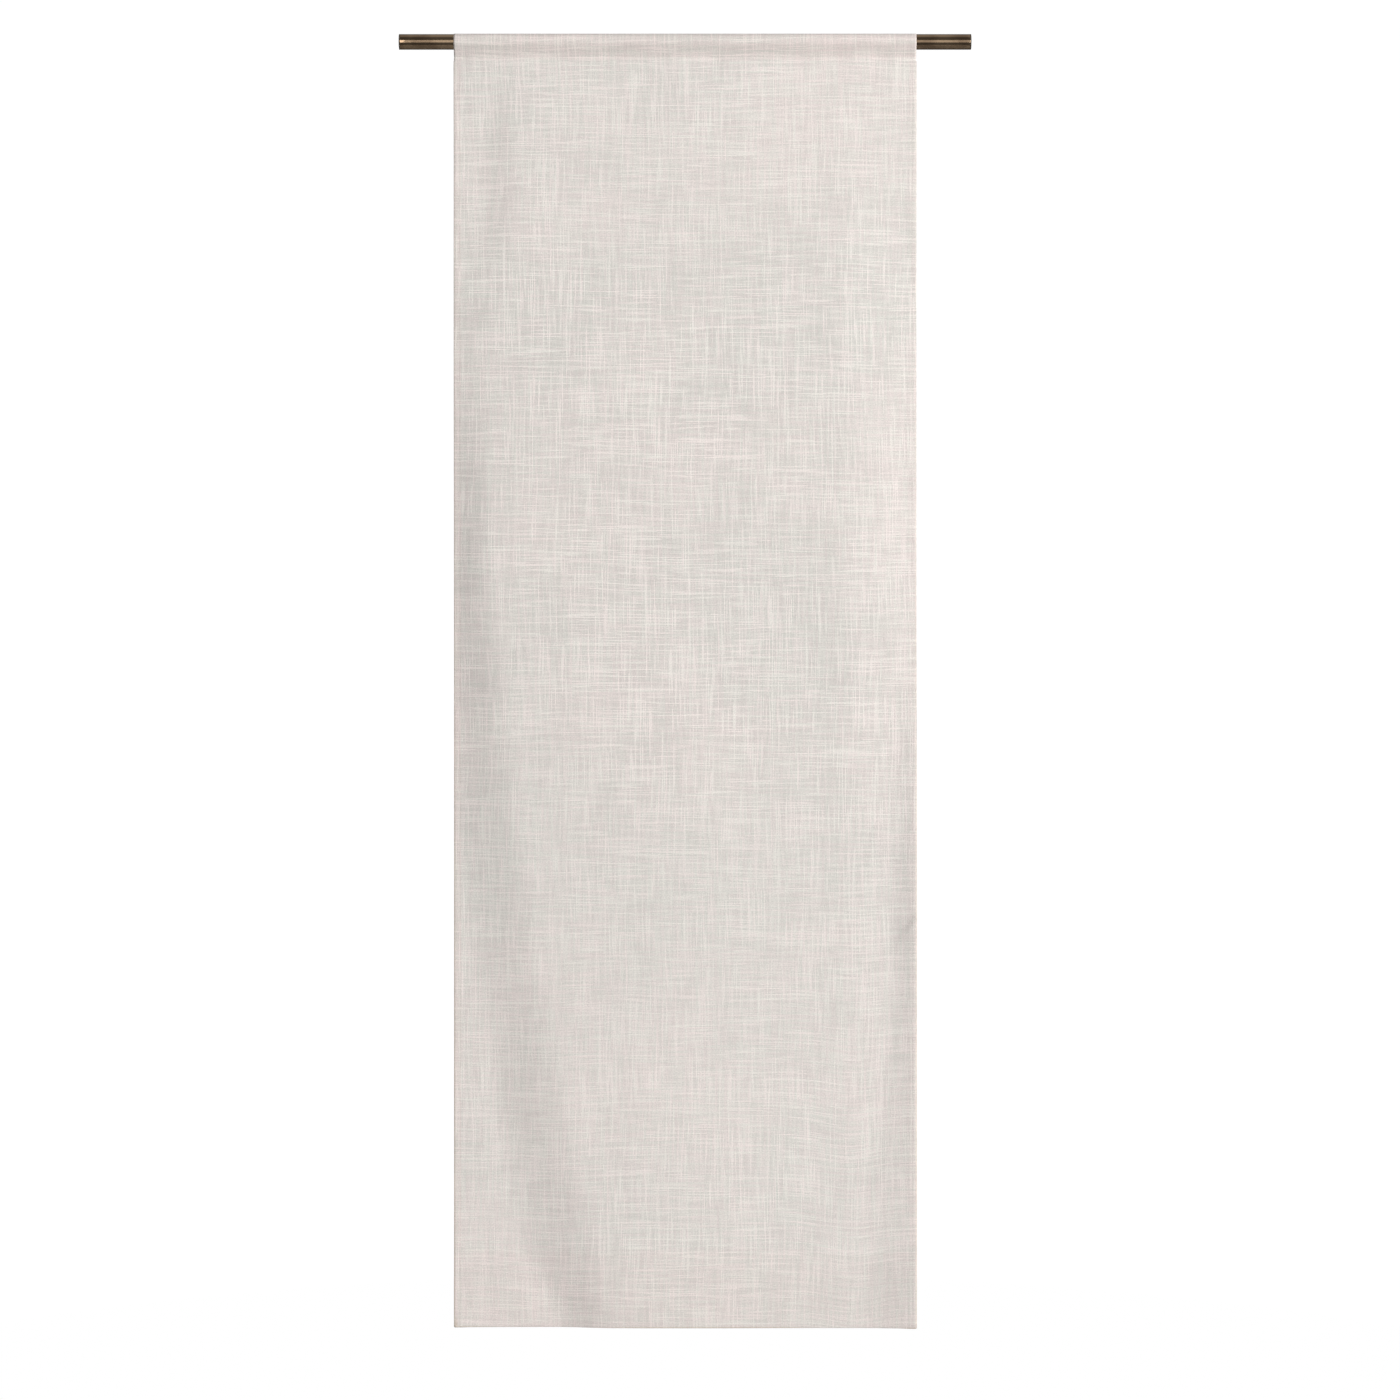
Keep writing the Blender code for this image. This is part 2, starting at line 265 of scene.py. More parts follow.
class CurtainSeamSettings(bpy.types.PropertyGroup):
    """Sizes and colour of the sewing thread."""

    radius: length_of("Thread Radius", "Half the thickness of the sewing thread", 0.00019, 0.00005, 0.001, 5)
    stitch: length_of("Stitch Length", "Distance from one needle hole to the next", 0.0030, 0.001, 0.01)
    tack_stitches: IntProperty(
        name="Tack Stitches", description="Number of zigzag stitches in a bar tack",
        default=26, min=8, max=80)
    colour: colour_of("Thread", "Colour of the sewing thread", (0.83, 0.78, 0.74))


class CurtainRodSettings(bpy.types.PropertyGroup):
    """Sides and colours of the curtain rod."""

    sides: IntProperty(
        name="Sides", description="Number of sides of the rod's round section",
        default=96, min=16, max=256)
    edge: length_of("Edge Radius", "Rounding of the tube's cut edges", 0.0003, 0.0, 0.001, 5)
    bronze: colour_of("Bronze", "Colour of the bronzed steel", (0.45, 0.32, 0.205))
    patina: colour_of("Patina", "Colour of the bronze where it has darkened", (0.30, 0.205, 0.13))
    plug: colour_of("End Plug", "Colour of the plastic end plugs", (0.085, 0.066, 0.048))


class CurtainStudioSettings(bpy.types.PropertyGroup):
    """The camera, the lights and the surroundings."""

    lens: FloatProperty(
        name="Lens", description="Focal length of the camera", default=100.0, min=20.0, max=300.0,
        unit="CAMERA")
    view_width: length_of("View Width", "Width of what the camera sees at the cloth", 2.3085, 0.5, 6.0)
    aside: length_of("Camera Aside", "How far the camera stands to the right of the rod's middle",
                     0.0246, -1.0, 1.0)
    below: length_of("Camera Below", "How far the camera stands below the curtain's middle",
                     0.0319, -1.0, 1.0)
    key_power: power_of("Key Light", "Power of the large light at the right front", 948.0)
    fill_power: power_of("Fill Light", "Power of the large light at the left front", 56.0)
    top_power: power_of("Top Light", "Power of the light above the rod", 6.0)
    rear_power: power_of("Rear Light", "Power of the large light behind the curtain", 260.0)
    strip_power: power_of("Rod Strip", "Power of the long light that the rod mirrors", 34.0)
    ambient: FloatProperty(
        name="Room Light", description="Strength of the light from all around",
        default=0.12, min=0.0, max=5.0)
    backdrop: FloatProperty(
        name="Upper Room Light", description="Strength of the light from behind and above the curtain",
        default=0.44, min=0.0, max=5.0)


# Small helpers

def clamp(value):
    """Keep a value between 0 and 1."""
    return min(max(value, 0.0), 1.0)


def smooth(value):
    """Ease from 0 to 1 as value goes from 0 to 1."""
    value = clamp(value)
    return value * value * (3.0 - 2.0 * value)


def stepped(h, start, steps):
    """A value at the drop h that begins at start and changes by eased steps on the way down."""
    return start + sum(change * smooth((h - drop) / length) for change, drop, length in steps)


def bell(distance, width):
    """1 at no distance, falling to 0 beyond a few widths."""
    return math.exp(-(distance / width) ** 2)


def past(place, start, soft):
    """How far a place lies past a start, bending softly from zero."""
    gone = place - start
    return 0.5 * (gone + math.sqrt(gone * gone + soft * soft))


def evenly(start, stop, spacing):
    """Places after start, up to and with stop, about one spacing apart."""
    count = round((stop - start) / spacing)
    return [start + (stop - start) * step / count for step in range(1, count + 1)]


def add_object(name, mesh):
    """Put a mesh in the scene under a name."""
    piece = bpy.data.objects.new(name, mesh)
    bpy.context.scene.collection.objects.link(piece)
    return piece


def mesh_from(name, points, faces):
    """Make a smooth mesh of points and faces."""
    mesh = bpy.data.meshes.new(name)
    mesh.from_pydata(points, [], faces)
    mesh.shade_smooth()
    return mesh


# The hanging cloth

def pocket_outline():
    """The pocket's middle line in (y, z), from its tucked raw edge behind, over the rod, to the bend."""
    half = LAYER_Y / 2
    turn_z = BEND.z + TUCK_CLEAR
    tuck = [(0.0, turn_z + POCKET_TUCK)]
    for step in range(TUCK_STEPS + 1):
        angle = math.pi * step / TUCK_STEPS
        tuck.append((half - half * math.cos(angle), turn_z - half * math.sin(angle)))
    meet_z = STITCH_Z + POCKET_FLAT
    seam = [STITCH_Z - SEAM_GROOVE, STITCH_Z, STITCH_Z + SEAM_GROOVE]
    back = [(LAYER_Y, z) for z in seam]
    front = [(-LAYER_Y, z) for z in reversed(seam)] + [(-LAYER_Y, BEND.z)]
    leave_y, leave_z = COVER_RADIUS * math.sin(POCKET_LEAVE), -COVER_RADIUS * math.cos(POCKET_LEAVE)
    fall = leave_z - meet_z
    lean = fall / math.tan(POCKET_LEAVE)
    flare = []
    for step in range(1, FLARE_STEPS):
        share = step / FLARE_STEPS
        bent = lean * share * (1.0 - share) ** 2 + (leave_y - LAYER_Y) * smooth(share)
        inward = FLARE_BEND * bent + (1.0 - FLARE_BEND) * (leave_y - LAYER_Y) * share
        flare.append((leave_y - inward, leave_z - fall * share))
    arc = []
    for step in range(POCKET_STEPS + 1):
        angle = POCKET_LEAVE + (math.tau - 2 * POCKET_LEAVE) * step / POCKET_STEPS
        arc.append((COVER_RADIUS * math.sin(angle), -COVER_RADIUS * math.cos(angle)))
    return tuck + back + flare[::-1] + arc + [(-y, z) for y, z in flare] + front


OUTLINE = pocket_outline()
REACHES = [0.0]
for begin, finish_at in zip(OUTLINE, OUTLINE[1:]):
    REACHES.append(REACHES[-1] + math.dist(begin, finish_at))
LOOP = REACHES[-1]
LENGTH = LOOP + DROP
SEAM_T = LOOP - (STITCH_Z - BEND.z)


def on_pocket(t):
    """The point (y, z) of the pocket's middle line at the distance t along the cloth."""
    index = 0
    while index < len(REACHES) - 2 and t > REACHES[index + 1]:
        index += 1
    share = (t - REACHES[index]) / (REACHES[index + 1] - REACHES[index])
    (y0, z0), (y1, z1) = OUTLINE[index], OUTLINE[index + 1]
    return y0 + (y1 - y0) * share, z0 + (z1 - z0) * share


def left_roll(s, h):
    """The left edge hangs back: a slight crease at the top, a deep slope that sweeps inward lower down."""
    sweep = clamp((h - SWEEP_START) / (DROP - SWEEP_START)) ** SWEEP_BEND
    line = stepped(h, *LEFT_LINE) + SWEEP_REACH * sweep
    return stepped(h, *LEFT_DEPTH) * (1.0 - smooth((s - line) / stepped(h, *LEFT_WIDTH) + 0.5))


def right_roll(s, h):
    """The right edge rolls back down to its middle, and curls forward below."""
    inward = WIDTH - s
    back = stepped(h, *RIGHT_BACK) * smooth((RIGHT_BACK_START - inward) / RIGHT_BACK_WIDTH)
    reach = stepped(h, *RIGHT_CURL_REACH)
    return back - stepped(h, *RIGHT_CURL) * smooth((reach - inward) / (RIGHT_CURL_WIDTH * reach))


def edge_wrinkle(s, h):
    """A short slanting wrinkle where the right edge begins to curl."""
    inward = WIDTH - s
    below = (h - WRINKLE_DROP - WRINKLE_SLANT * inward) / math.hypot(1.0, WRINKLE_SLANT)
    if inward > WRINKLE_LIMITS[0] or abs(below) > WRINKLE_LIMITS[1]:
        return 0.0
    step = smooth(below / WRINKLE_RISE + 0.5) * math.exp(-max(below, 0.0) / WRINKLE_FADE)
    return -WRINKLE_DEPTH * step * bell(inward, WRINKLE_REACH)


def drape(s, h):
    """How far behind its plane the cloth lies at s and the drop h. The hems keep the edges straight."""
    stiff = past(s, *STIFF_LEFT) + STIFF_LEFT[0]
    stiff = WIDTH - STIFF_RIGHT[0] - past(WIDTH - stiff, *STIFF_RIGHT)
    wave = WAVE_DEPTH * (1.0 - math.cos(math.tau * s / WAVE_LENGTH)) * (h / DROP) ** 2
    return left_roll(stiff, h) + right_roll(stiff, h) + edge_wrinkle(s, h) + wave


def hollows(s, t):
    """Broad, shallow unevenness of the whole cloth, about -1 to 1."""
    (wide, tall, seed), (narrow, short, other) = HOLLOWS
    broad = noise.noise(Vector((s / wide, t / tall, seed)))
    return broad + 0.4 * noise.noise(Vector((s / narrow, t / short, other)))


def ripple(along, seed):
    """Uneven small ripples along a seam, between -1 and 1."""
    coarse = noise.noise(Vector((along / RIPPLE_LONG, seed, 0.3)))
    fine = noise.noise(Vector((along / RIPPLE_SHORT, seed + 4.0, 0.7)))
    return 1.2 * coarse + 0.5 * fine


def detail(s, t, sizes):
    """Small unevenness of the cloth: seam puckers and grooves, thick hems and shallow hollows."""
    h = t - LOOP
    below_seam = t - SEAM_T
    left, right = s, WIDTH - s
    hem_line = h - (DROP - sizes.bottom_hem + SEAM_MARGIN)
    side_line = sizes.side_hem - SEAM_MARGIN
    hang = smooth(h / BEND_LENGTH)
    seam = ripple(s, 1.0) * bell(below_seam, PUCKER_BELOW if below_seam > 0 else PUCKER_ABOVE)
    sides = ripple(t, 11.0) * bell(left, PUCKER_SIDE) + ripple(t, 23.0) * bell(right, PUCKER_SIDE)
    hem = 0.5 * ripple(s, 31.0) * bell(hem_line, PUCKER_HEM)
    groove = bell(below_seam, SEAM_GROOVE) + 0.6 * bell(hem_line, SEAM_GROOVE)
    groove += hang * (bell(left - side_line, SEAM_GROOVE) + bell(right - side_line, SEAM_GROOVE))
    tacks = bell(left - TACK_INWARD, TACK_WIDTH) + bell(right - TACK_INWARD, TACK_WIDTH)
    groove += 2.0 * tacks * bell(below_seam, TACK_HEIGHT)
    thick = 2.0 - smooth((left - sizes.side_hem) / HEM_EASE) - smooth((right - sizes.side_hem) / HEM_EASE)
    grown = smooth(h / HOLLOWS_DROP) * (0.6 + 0.4 * smooth(h / DROP))
    uneven = sizes.pucker * (0.8 * seam + hang * (sides + hem)) + sizes.softness * hollows(s, t) * grown
    return uneven + GROOVE_DEPTH * groove - HEM_THICKENS * thick * hang


def on_cloth(s, t, sizes):
    """A point on the middle of the cloth."""
    if t >= LOOP:
        h = t - LOOP
        return Vector((LEFT_X + s, BEND.y + drape(s, h) + detail(s, t, sizes), BEND.z - h))
    y, z = on_pocket(t)
    clear = smooth(math.hypot(y, z) / COVER_RADIUS - 1.0)
    return Vector((LEFT_X + s, y + detail(s, LOOP - (z - BEND.z), sizes) * clear, z))


def cloth_frame(s, t, sizes):
    """The cloth's middle point, its normal to the wrong side, and its directions across and down."""
    step = NORMAL_STEP
    across = (on_cloth(s + step, t, sizes) - on_cloth(s - step, t, sizes)).normalized()
    down = (on_cloth(s, t + step, sizes) - on_cloth(s, t - step, sizes)).normalized()
    return on_cloth(s, t, sizes), across.cross(down).normalized(), across, down


def column_places(sizes):
    """Distances from the left edge of the mesh's columns, closer together along the side hems."""
    line = sizes.side_hem - SEAM_MARGIN
    edge = [0.0, 0.003, line - 2 * SEAM_GROOVE, line - SEAM_GROOVE, line, line + SEAM_GROOVE,
            sizes.side_hem + 0.001, sizes.side_hem + HEM_EASE]
    middle = evenly(edge[-1], WIDTH - edge[-1], sizes.facet)[:-1]
    return edge + middle + [WIDTH - place for place in reversed(edge)]


def row_places(sizes):
    """Distances along the cloth of the mesh's rows, closer together at the seam and the hem."""
    hem = DROP - sizes.bottom_hem
    seam = [hem + SEAM_MARGIN + SEAM_GROOVE * step for step in (-1, 0, 1)]
    drops = evenly(0.0, BEND_LENGTH, BEND_LENGTH / BEND_ROWS) + evenly(BEND_LENGTH, hem, sizes.facet)
    drops += seam + evenly(seam[-1], DROP, sizes.facet)
    return REACHES + [LOOP + drop for drop in drops]


def pulled(s, t):
    """The flat place of a point in the woven grain, which was pulled out of square while finishing."""
    low = smooth((max(t - LOOP, 0.0) - GRAIN_DIP_START) / GRAIN_DIP_LENGTH)
    dip = sum(depth * bell(s - middle, width) for depth, middle, width in GRAIN_DIPS)
    wander = noise.noise(Vector((s / GRAIN_WANDER_WIDTH, 3.3, 1.7)))
    top = 1.0 - smooth((t - SEAM_T + 0.02) / 0.10)
    return s, t - dip * low + GRAIN_WANDER * wander * top


class ClothMesh:
    """Collects the points and faces of the cloth, with each point's flat place on the cut sheet."""

    def __init__(self):
        self.points = []
        self.flat = []
        self.faces = []

    def add(self, point, flat):
        """Add one point and return its number."""
        self.points.append(point)
        self.flat.append(flat)
        return len(self.points) - 1

    def bridge(self, first, second):
        """Join two equally long rows of point numbers with faces."""
        for side in range(len(first) - 1):
            self.faces.append((first[side], second[side], second[side + 1], first[side + 1]))

    def build(self, name, map_name):
        """Make the mesh, with the flat places as its UV map in metres."""
        mesh = mesh_from(name, self.points, self.faces)
        layer = mesh.uv_layers.new(name=map_name)
        corners = [0] * len(mesh.loops)
        mesh.loops.foreach_get("vertex_index", corners)
        layer.data.foreach_set("uv", [value for corner in corners for value in self.flat[corner]])
        return mesh


def turned_profile(radius, lie, back=0.0, steps=4):
    """The section of a turned edge: each point's reach past the edge, way back over the cloth, lift
    off it, and run along the turned layer. With back, the raw edge is turned under by that much."""
    profile = []
    for step in range(1, steps + 1):
        angle = math.pi * step / steps
        profile.append((radius * math.sin(angle), 0.0, radius * (1 - math.cos(angle)), radius * angle))
    run = radius * math.pi
    profile += [(0.0, lie * share, 2 * radius, run + lie * share) for share in (0.25, 0.5, 0.75, 1.0)]
    run += lie
    if back:
        for step in range(1, steps + 1):
            angle = math.pi * step / steps
            inward, off = radius / 2 * math.sin(angle), radius * (1.5 + 0.5 * math.cos(angle))
            profile.append((0.0, lie + inward, off, run + radius / 2 * angle))
        run += radius / 2 * math.pi
        profile += [(0.0, lie - back * share, radius, run + back * share) for share in (0.33, 0.67, 1.0)]
    return profile


def turn_edge(cloth, places, edge_row, side, profile, frame_at):
    """Turn a side edge over to its wrong side: side is -1 at the left and 1 at the right."""
    edge = 0.0 if side < 0 else WIDTH
    previous = None
    for number, place in zip(edge_row, places):
        strip = [number]
        flat_t = cloth.flat[number][1]
        for out, inward, off, run in profile:
            point, normal, across, _ = frame_at(edge - side * inward, place)
            turned = point + across * (side * out) + normal * off
            strip.append(cloth.add(turned, (edge + side * run, flat_t)))
        if previous is not None:
            pair = (previous, strip) if side > 0 else (strip, previous)
            cloth.bridge(*pair)
        previous = strip


def hem_lift(s, sizes):
    """How far the turned-up layer lies behind the face: further over the side hems."""
    near = min(s, WIDTH - s)
    over_sides = 1.0 - smooth((near - sizes.side_hem) / HEM_LIFT_EASE)
    return sizes.thickness * (HEM_LIFT + HEM_LIFT_SIDES * over_sides)


def turn_up(cloth, columns, last_row, sizes):
    """Turn the cloth up behind itself along the bottom, tuck its raw edge in, and fold its sides in."""
    depth = sizes.bottom_hem
    bottom = {s: cloth_frame(s, LENGTH, sizes) for s in columns}
    previous = last_row
    for step in range(1, HEM_TURN_STEPS + 1):
        angle = math.pi * step / HEM_TURN_STEPS
        row = []
        for s in columns:
            point, normal, _, down = bottom[s]
            radius = hem_lift(s, sizes) / 2
            out = down * (radius * math.sin(angle)) + normal * (radius * (1 - math.cos(angle)))
            row.append(cloth.add(point + out, (s, LENGTH + radius * angle)))
        cloth.bridge(previous, row)
        previous = row

    def behind(s, t):
        point, normal, across, down = cloth_frame(s, t, sizes)
        return point + normal * hem_lift(s, sizes), -normal, across, down

    flat_start = LENGTH + HEM_TURN
    risen = evenly(0.0, depth, sizes.facet)
    rows = []
    for rise in risen:
        row = [cloth.add(behind(s, LENGTH - rise)[0], (s, flat_start + rise)) for s in columns]
        cloth.bridge(previous, row)
        rows.append(row)
        previous = row
    layer = FOLD_RADIUS * sizes.thickness
    tuck = [(0.4, 0.35), (0.4, 0.65), (0.0, 1.0)]
    tuck += [(-HEM_TUCK * share / layer, 1.0) for share in (0.25, 0.5, 0.75, 1.0)]
    for over, off in tuck:
        flat_t = flat_start + depth + 0.001 - over * layer
        row = []
        for s in columns:
            point, normal, _, _ = behind(s, LENGTH - depth - over * layer)
            row.append(cloth.add(point + normal * (off * layer), (s, flat_t)))
        cloth.bridge(previous, row)
        previous = row
    folded = [(place, row) for place, row in zip(risen, rows) if place < depth - HEM_SIDES_END]
    places = [LENGTH - place for place, _ in folded]
    inside = turned_profile(0.55 * sizes.thickness, 0.8 * sizes.side_hem)
    turn_edge(cloth, places, [row[0] for _, row in folded], -1, inside, behind)
    turn_edge(cloth, places, [row[-1] for _, row in folded], 1, inside, behind)


def side_fold(sizes):
    """The section of a side hem, turned twice."""
    return turned_profile(FOLD_RADIUS * sizes.thickness, sizes.side_hem, back=FOLD_BACK * sizes.side_hem)


def cloth_mesh(sizes):
    """One sheet of cloth: pocket, face, both side hems and the bottom hem."""
    cloth = ClothMesh()
    columns = column_places(sizes)
    places = row_places(sizes)
    rows = [[cloth.add(on_cloth(s, t, sizes), pulled(s, t)) for s in columns] for t in places]
    for upper, lower in zip(rows, rows[1:]):
        cloth.bridge(upper, lower)
    hemmed = [(row, t) for row, t in zip(rows, places) if t >= LOOP + HEM_START]
    below = [t for _, t in hemmed]

    def face(s, t):
        return cloth_frame(s, t, sizes)

    turn_edge(cloth, below, [row[0] for row, _ in hemmed], -1, side_fold(sizes), face)
    turn_edge(cloth, below, [row[-1] for row, _ in hemmed], 1, side_fold(sizes), face)
    turn_up(cloth, columns, rows[-1], sizes)
    return cloth.build("curtain_cloth", "cloth")


def bend_with_panel(piece):
    """Bake a piece's placement into its mesh; it is not made to bend with the panel."""
    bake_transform(piece)


# Stitches

class StitchMesh:
    """Collects stitches: short, round lengths of thread whose ends dip into the cloth."""

    SIDES = 6
    STATIONS = ((0.0, 0.45, -0.9), (0.14, 0.95, 0.1), (0.5, 1.0, 0.65), (0.86, 0.95, 0.1), (1.0, 0.45, -0.9))

    def __init__(self, radius):
        self.radius = radius
        self.points = []
        self.faces = []

    def add(self, start, end, outward):
        """Lay one stitch on the surface from start to end, with outward pointing off the cloth."""
        along = (end - start).normalized()
        side = along.cross(outward).normalized()
        first = len(self.points)
        for share, width, rise in self.STATIONS:
            centre = start.lerp(end, share) + outward * (self.radius * rise)
            for turn in range(self.SIDES):
                angle = math.tau * turn / self.SIDES
                ring = side * math.cos(angle) + outward * math.sin(angle)
                self.points.append(centre + ring * (self.radius * width))
        rings = len(self.STATIONS)
        for ring in range(rings - 1):
            for turn in range(self.SIDES):
                here = first + ring * self.SIDES + turn
                beside = first + ring * self.SIDES + (turn + 1) % self.SIDES
                self.faces.append((here, beside, beside + self.SIDES, here + self.SIDES))
        last = first + (rings - 1) * self.SIDES
        self.faces.append(tuple(range(first + self.SIDES - 1, first - 1, -1)))
        self.faces.append(tuple(range(last, last + self.SIDES)))

    def build(self, name):
        """Make the mesh of all the stitches."""
        return mesh_from(name, self.points, self.faces)


def seam_points(path, length, stitch):
    """The needle holes along a seam, as (point, normal) from path(distance)."""
    count = round(length / stitch)
    return [path(length * step / count) for step in range(count + 1)]


def seam_mesh(name, holes, radius, offset, side):
    """A row of stitches: side is -1 on the cloth's front and 1 on its back."""
    stitches = StitchMesh(radius)
    for (start, normal_a), (end, normal_b) in zip(holes, holes[1:]):
        outward = ((normal_a + normal_b) * side).normalized()
        begin = start + normal_a * (side * offset)
        stop = end + normal_b * (side * offset)
        stitches.add(begin.lerp(stop, 0.06), begin.lerp(stop, 0.94), outward)
    return stitches.build(name)


# Materials

# The slubs: how softly one begins, how much paler two are where they cross, and their usual share;
# how far the yarns wander, and the pitch of the label's ribs
SLUB_EDGE = 0.13
SLUB_CROSSING = 0.30
SLUB_USUAL = 0.28
YARN_SWAY = 0.012
RIB_PITCH = 0.0005

# Painted light and shade on the cloth: the pocket painted a little brighter, painted shade on the bottom hem
# and along its folds; how softly a side hem's painted shade ends, and the two leans of the cloth's hue
LAYER_EDGE = 0.002
POCKET_PAINTED_LIGHT = (1.012, 1.012, 1.012, 1.0)
BOTTOM_PAINTED_SHADE = (0.970, 0.972, 0.972, 1.0)
FOLD_PAINTED_SHADE = (0.90, 0.84, 0.76, 1.0)
GREEN_LEAN = (0.988, 1.009, 0.996, 1.0)
ROSE_LEAN = (1.016, 0.990, 0.996, 1.0)


def shade(tree, kind, **values):
    """Add a shader node and set its plain properties."""
    node = tree.nodes.new(kind)
    for name, value in values.items():
        setattr(node, name, value)
    return node


def feed(tree, socket, value):
    """Give a socket a value, or link another socket to it."""
    if isinstance(value, bpy.types.NodeSocket):
        tree.links.new(value, socket)
    else:
        socket.default_value = value


def calc(tree, operation, first, second=0.0, third=0.0):
    """A Math node of one to three values."""
    node = shade(tree, "ShaderNodeMath", operation=operation)
    for socket, value in zip(node.inputs, (first, second, third)):
        feed(tree, socket, value)
    return node.outputs[0]


def remap(tree, value, low, high, to_low=0.0, to_high=1.0):
    """Bring a value from one range into another, with eased ends."""
    node = shade(tree, "ShaderNodeMapRange", interpolation_type="SMOOTHSTEP")
    for name, entry in (("Value", value), ("From Min", low), ("From Max", high),
                        ("To Min", to_low), ("To Max", to_high)):
        feed(tree, node.inputs[name], entry)
    return node.outputs["Result"]


def parts(tree, vector):
    """The three values of a vector."""
    split = shade(tree, "ShaderNodeSeparateXYZ")
    tree.links.new(vector, split.inputs[0])
    return split.outputs


def place(tree, x, y, z):
    """A vector of three values."""
    node = shade(tree, "ShaderNodeCombineXYZ")
    for socket, value in zip(node.inputs, (x, y, z)):
        feed(tree, socket, value)
    return node.outputs[0]


def grain(tree, vector, scale, detail_level=2.0, rough=0.5):
    """Soft noise from 0 to 1 at a place."""
    node = shade(tree, "ShaderNodeTexNoise", noise_dimensions="3D")
    feed(tree, node.inputs["Vector"], vector)
    feed(tree, node.inputs["Scale"], scale)
    node.inputs["Detail"].default_value = detail_level
    node.inputs["Roughness"].default_value = rough
    return node.outputs["Fac"]


def blend_colour(tree, share, first, second, kind="MIX"):
    """Mix two colours."""
    node = shade(tree, "ShaderNodeMix", data_type="RGBA", blend_type=kind)
    feed(tree, node.inputs["Factor"], share)
    feed(tree, node.inputs["A"], first)
    feed(tree, node.inputs["B"], second)
    return node.outputs["Result"]


def tinted(tree, colour, share, tint, plain=WHITE):
    """Multiply a colour by a tint, as far as the share says, and by the plain tint elsewhere."""
    cast = blend_colour(tree, share, plain, tint)
    return blend_colour(tree, 1.0, colour, cast, "MULTIPLY")


def grey(value):
    """An opaque grey."""
    return (value, value, value, 1.0)


def new_group(name, inputs, outputs):
    """A shader node group that takes a place and numbers and gives numbers; returns its two ends too."""
    group = bpy.data.node_groups.new(name, "ShaderNodeTree")
    group.interface.new_socket("Place", in_out="INPUT", socket_type="NodeSocketVector")
    for label in inputs:
        group.interface.new_socket(label, in_out="INPUT", socket_type="NodeSocketFloat")
    for label in outputs:
        group.interface.new_socket(label, in_out="OUTPUT", socket_type="NodeSocketFloat")
    return group, group.nodes.new("NodeGroupInput"), group.nodes.new("NodeGroupOutput")


def yarn_rows(tree, across, along, pitch, length, seed):
    """One direction of yarn: where it thickens into a slub, the tone of each yarn, and its round section."""
    row_place = calc(tree, "DIVIDE", across, pitch)
    row = calc(tree, "FLOOR", row_place)
    part = calc(tree, "SUBTRACT", row_place, row)
    section = calc(tree, "SINE", calc(tree, "MULTIPLY", part, math.pi))
    shifted = calc(tree, "MULTIPLY_ADD", row, 7.31, seed)
    run = calc(tree, "DIVIDE", along, length)
    slub = grain(tree, place(tree, run, shifted, seed), 1.0, 1.0, 0.45)
    tone = grain(tree, place(tree, calc(tree, "MULTIPLY", run, 1.6), shifted, seed + 3.0), 1.0, 1.0)
    return slub, tone, section


def slub_shares(group, u, v, slubs, rounds):
    """How much of a slub shows at a place: more in some patches, more evenly at the top and low down."""
    patches = [grain(group, place(group, u, v, seed), 9.0, 2.0, 0.6) for seed in (21.0, 33.0)]
    edges = [remap(group, patch, 0.35, 0.65, 0.560, 0.490) for patch in patches]
    weft, warp = [remap(group, slub, edge, calc(group, "ADD", edge, SLUB_EDGE))
                  for slub, edge in zip(slubs, edges)]
    weft = calc(group, "MULTIPLY", weft, calc(group, "POWER", rounds[0], 0.5))
    warp = calc(group, "MULTIPLY", warp, calc(group, "POWER", rounds[1], 0.5))
    both = calc(group, "MULTIPLY", calc(group, "MULTIPLY", weft, warp), SLUB_CROSSING)
    slub = calc(group, "MULTIPLY_ADD", calc(group, "MAXIMUM", weft, warp), 1.0 - SLUB_CROSSING, both)
    region = grain(group, place(group, u, calc(group, "MULTIPLY", v, 0.7), 64.0), 2.6, 1.0)
    slub = calc(group, "MULTIPLY", slub, remap(group, region, 0.35, 0.62, 0.72, 0.92))
    even = calc(group, "MULTIPLY", remap(group, v, LOOP + 1.05, LOOP + 1.35, 1.0, 0.72),
                remap(group, v, LOOP + 0.22, LOOP + 0.42, 0.84, 1.0))
    usual = calc(group, "MULTIPLY", calc(group, "SUBTRACT", 1.0, even), SLUB_USUAL)
    return calc(group, "MULTIPLY_ADD", slub, even, usual)


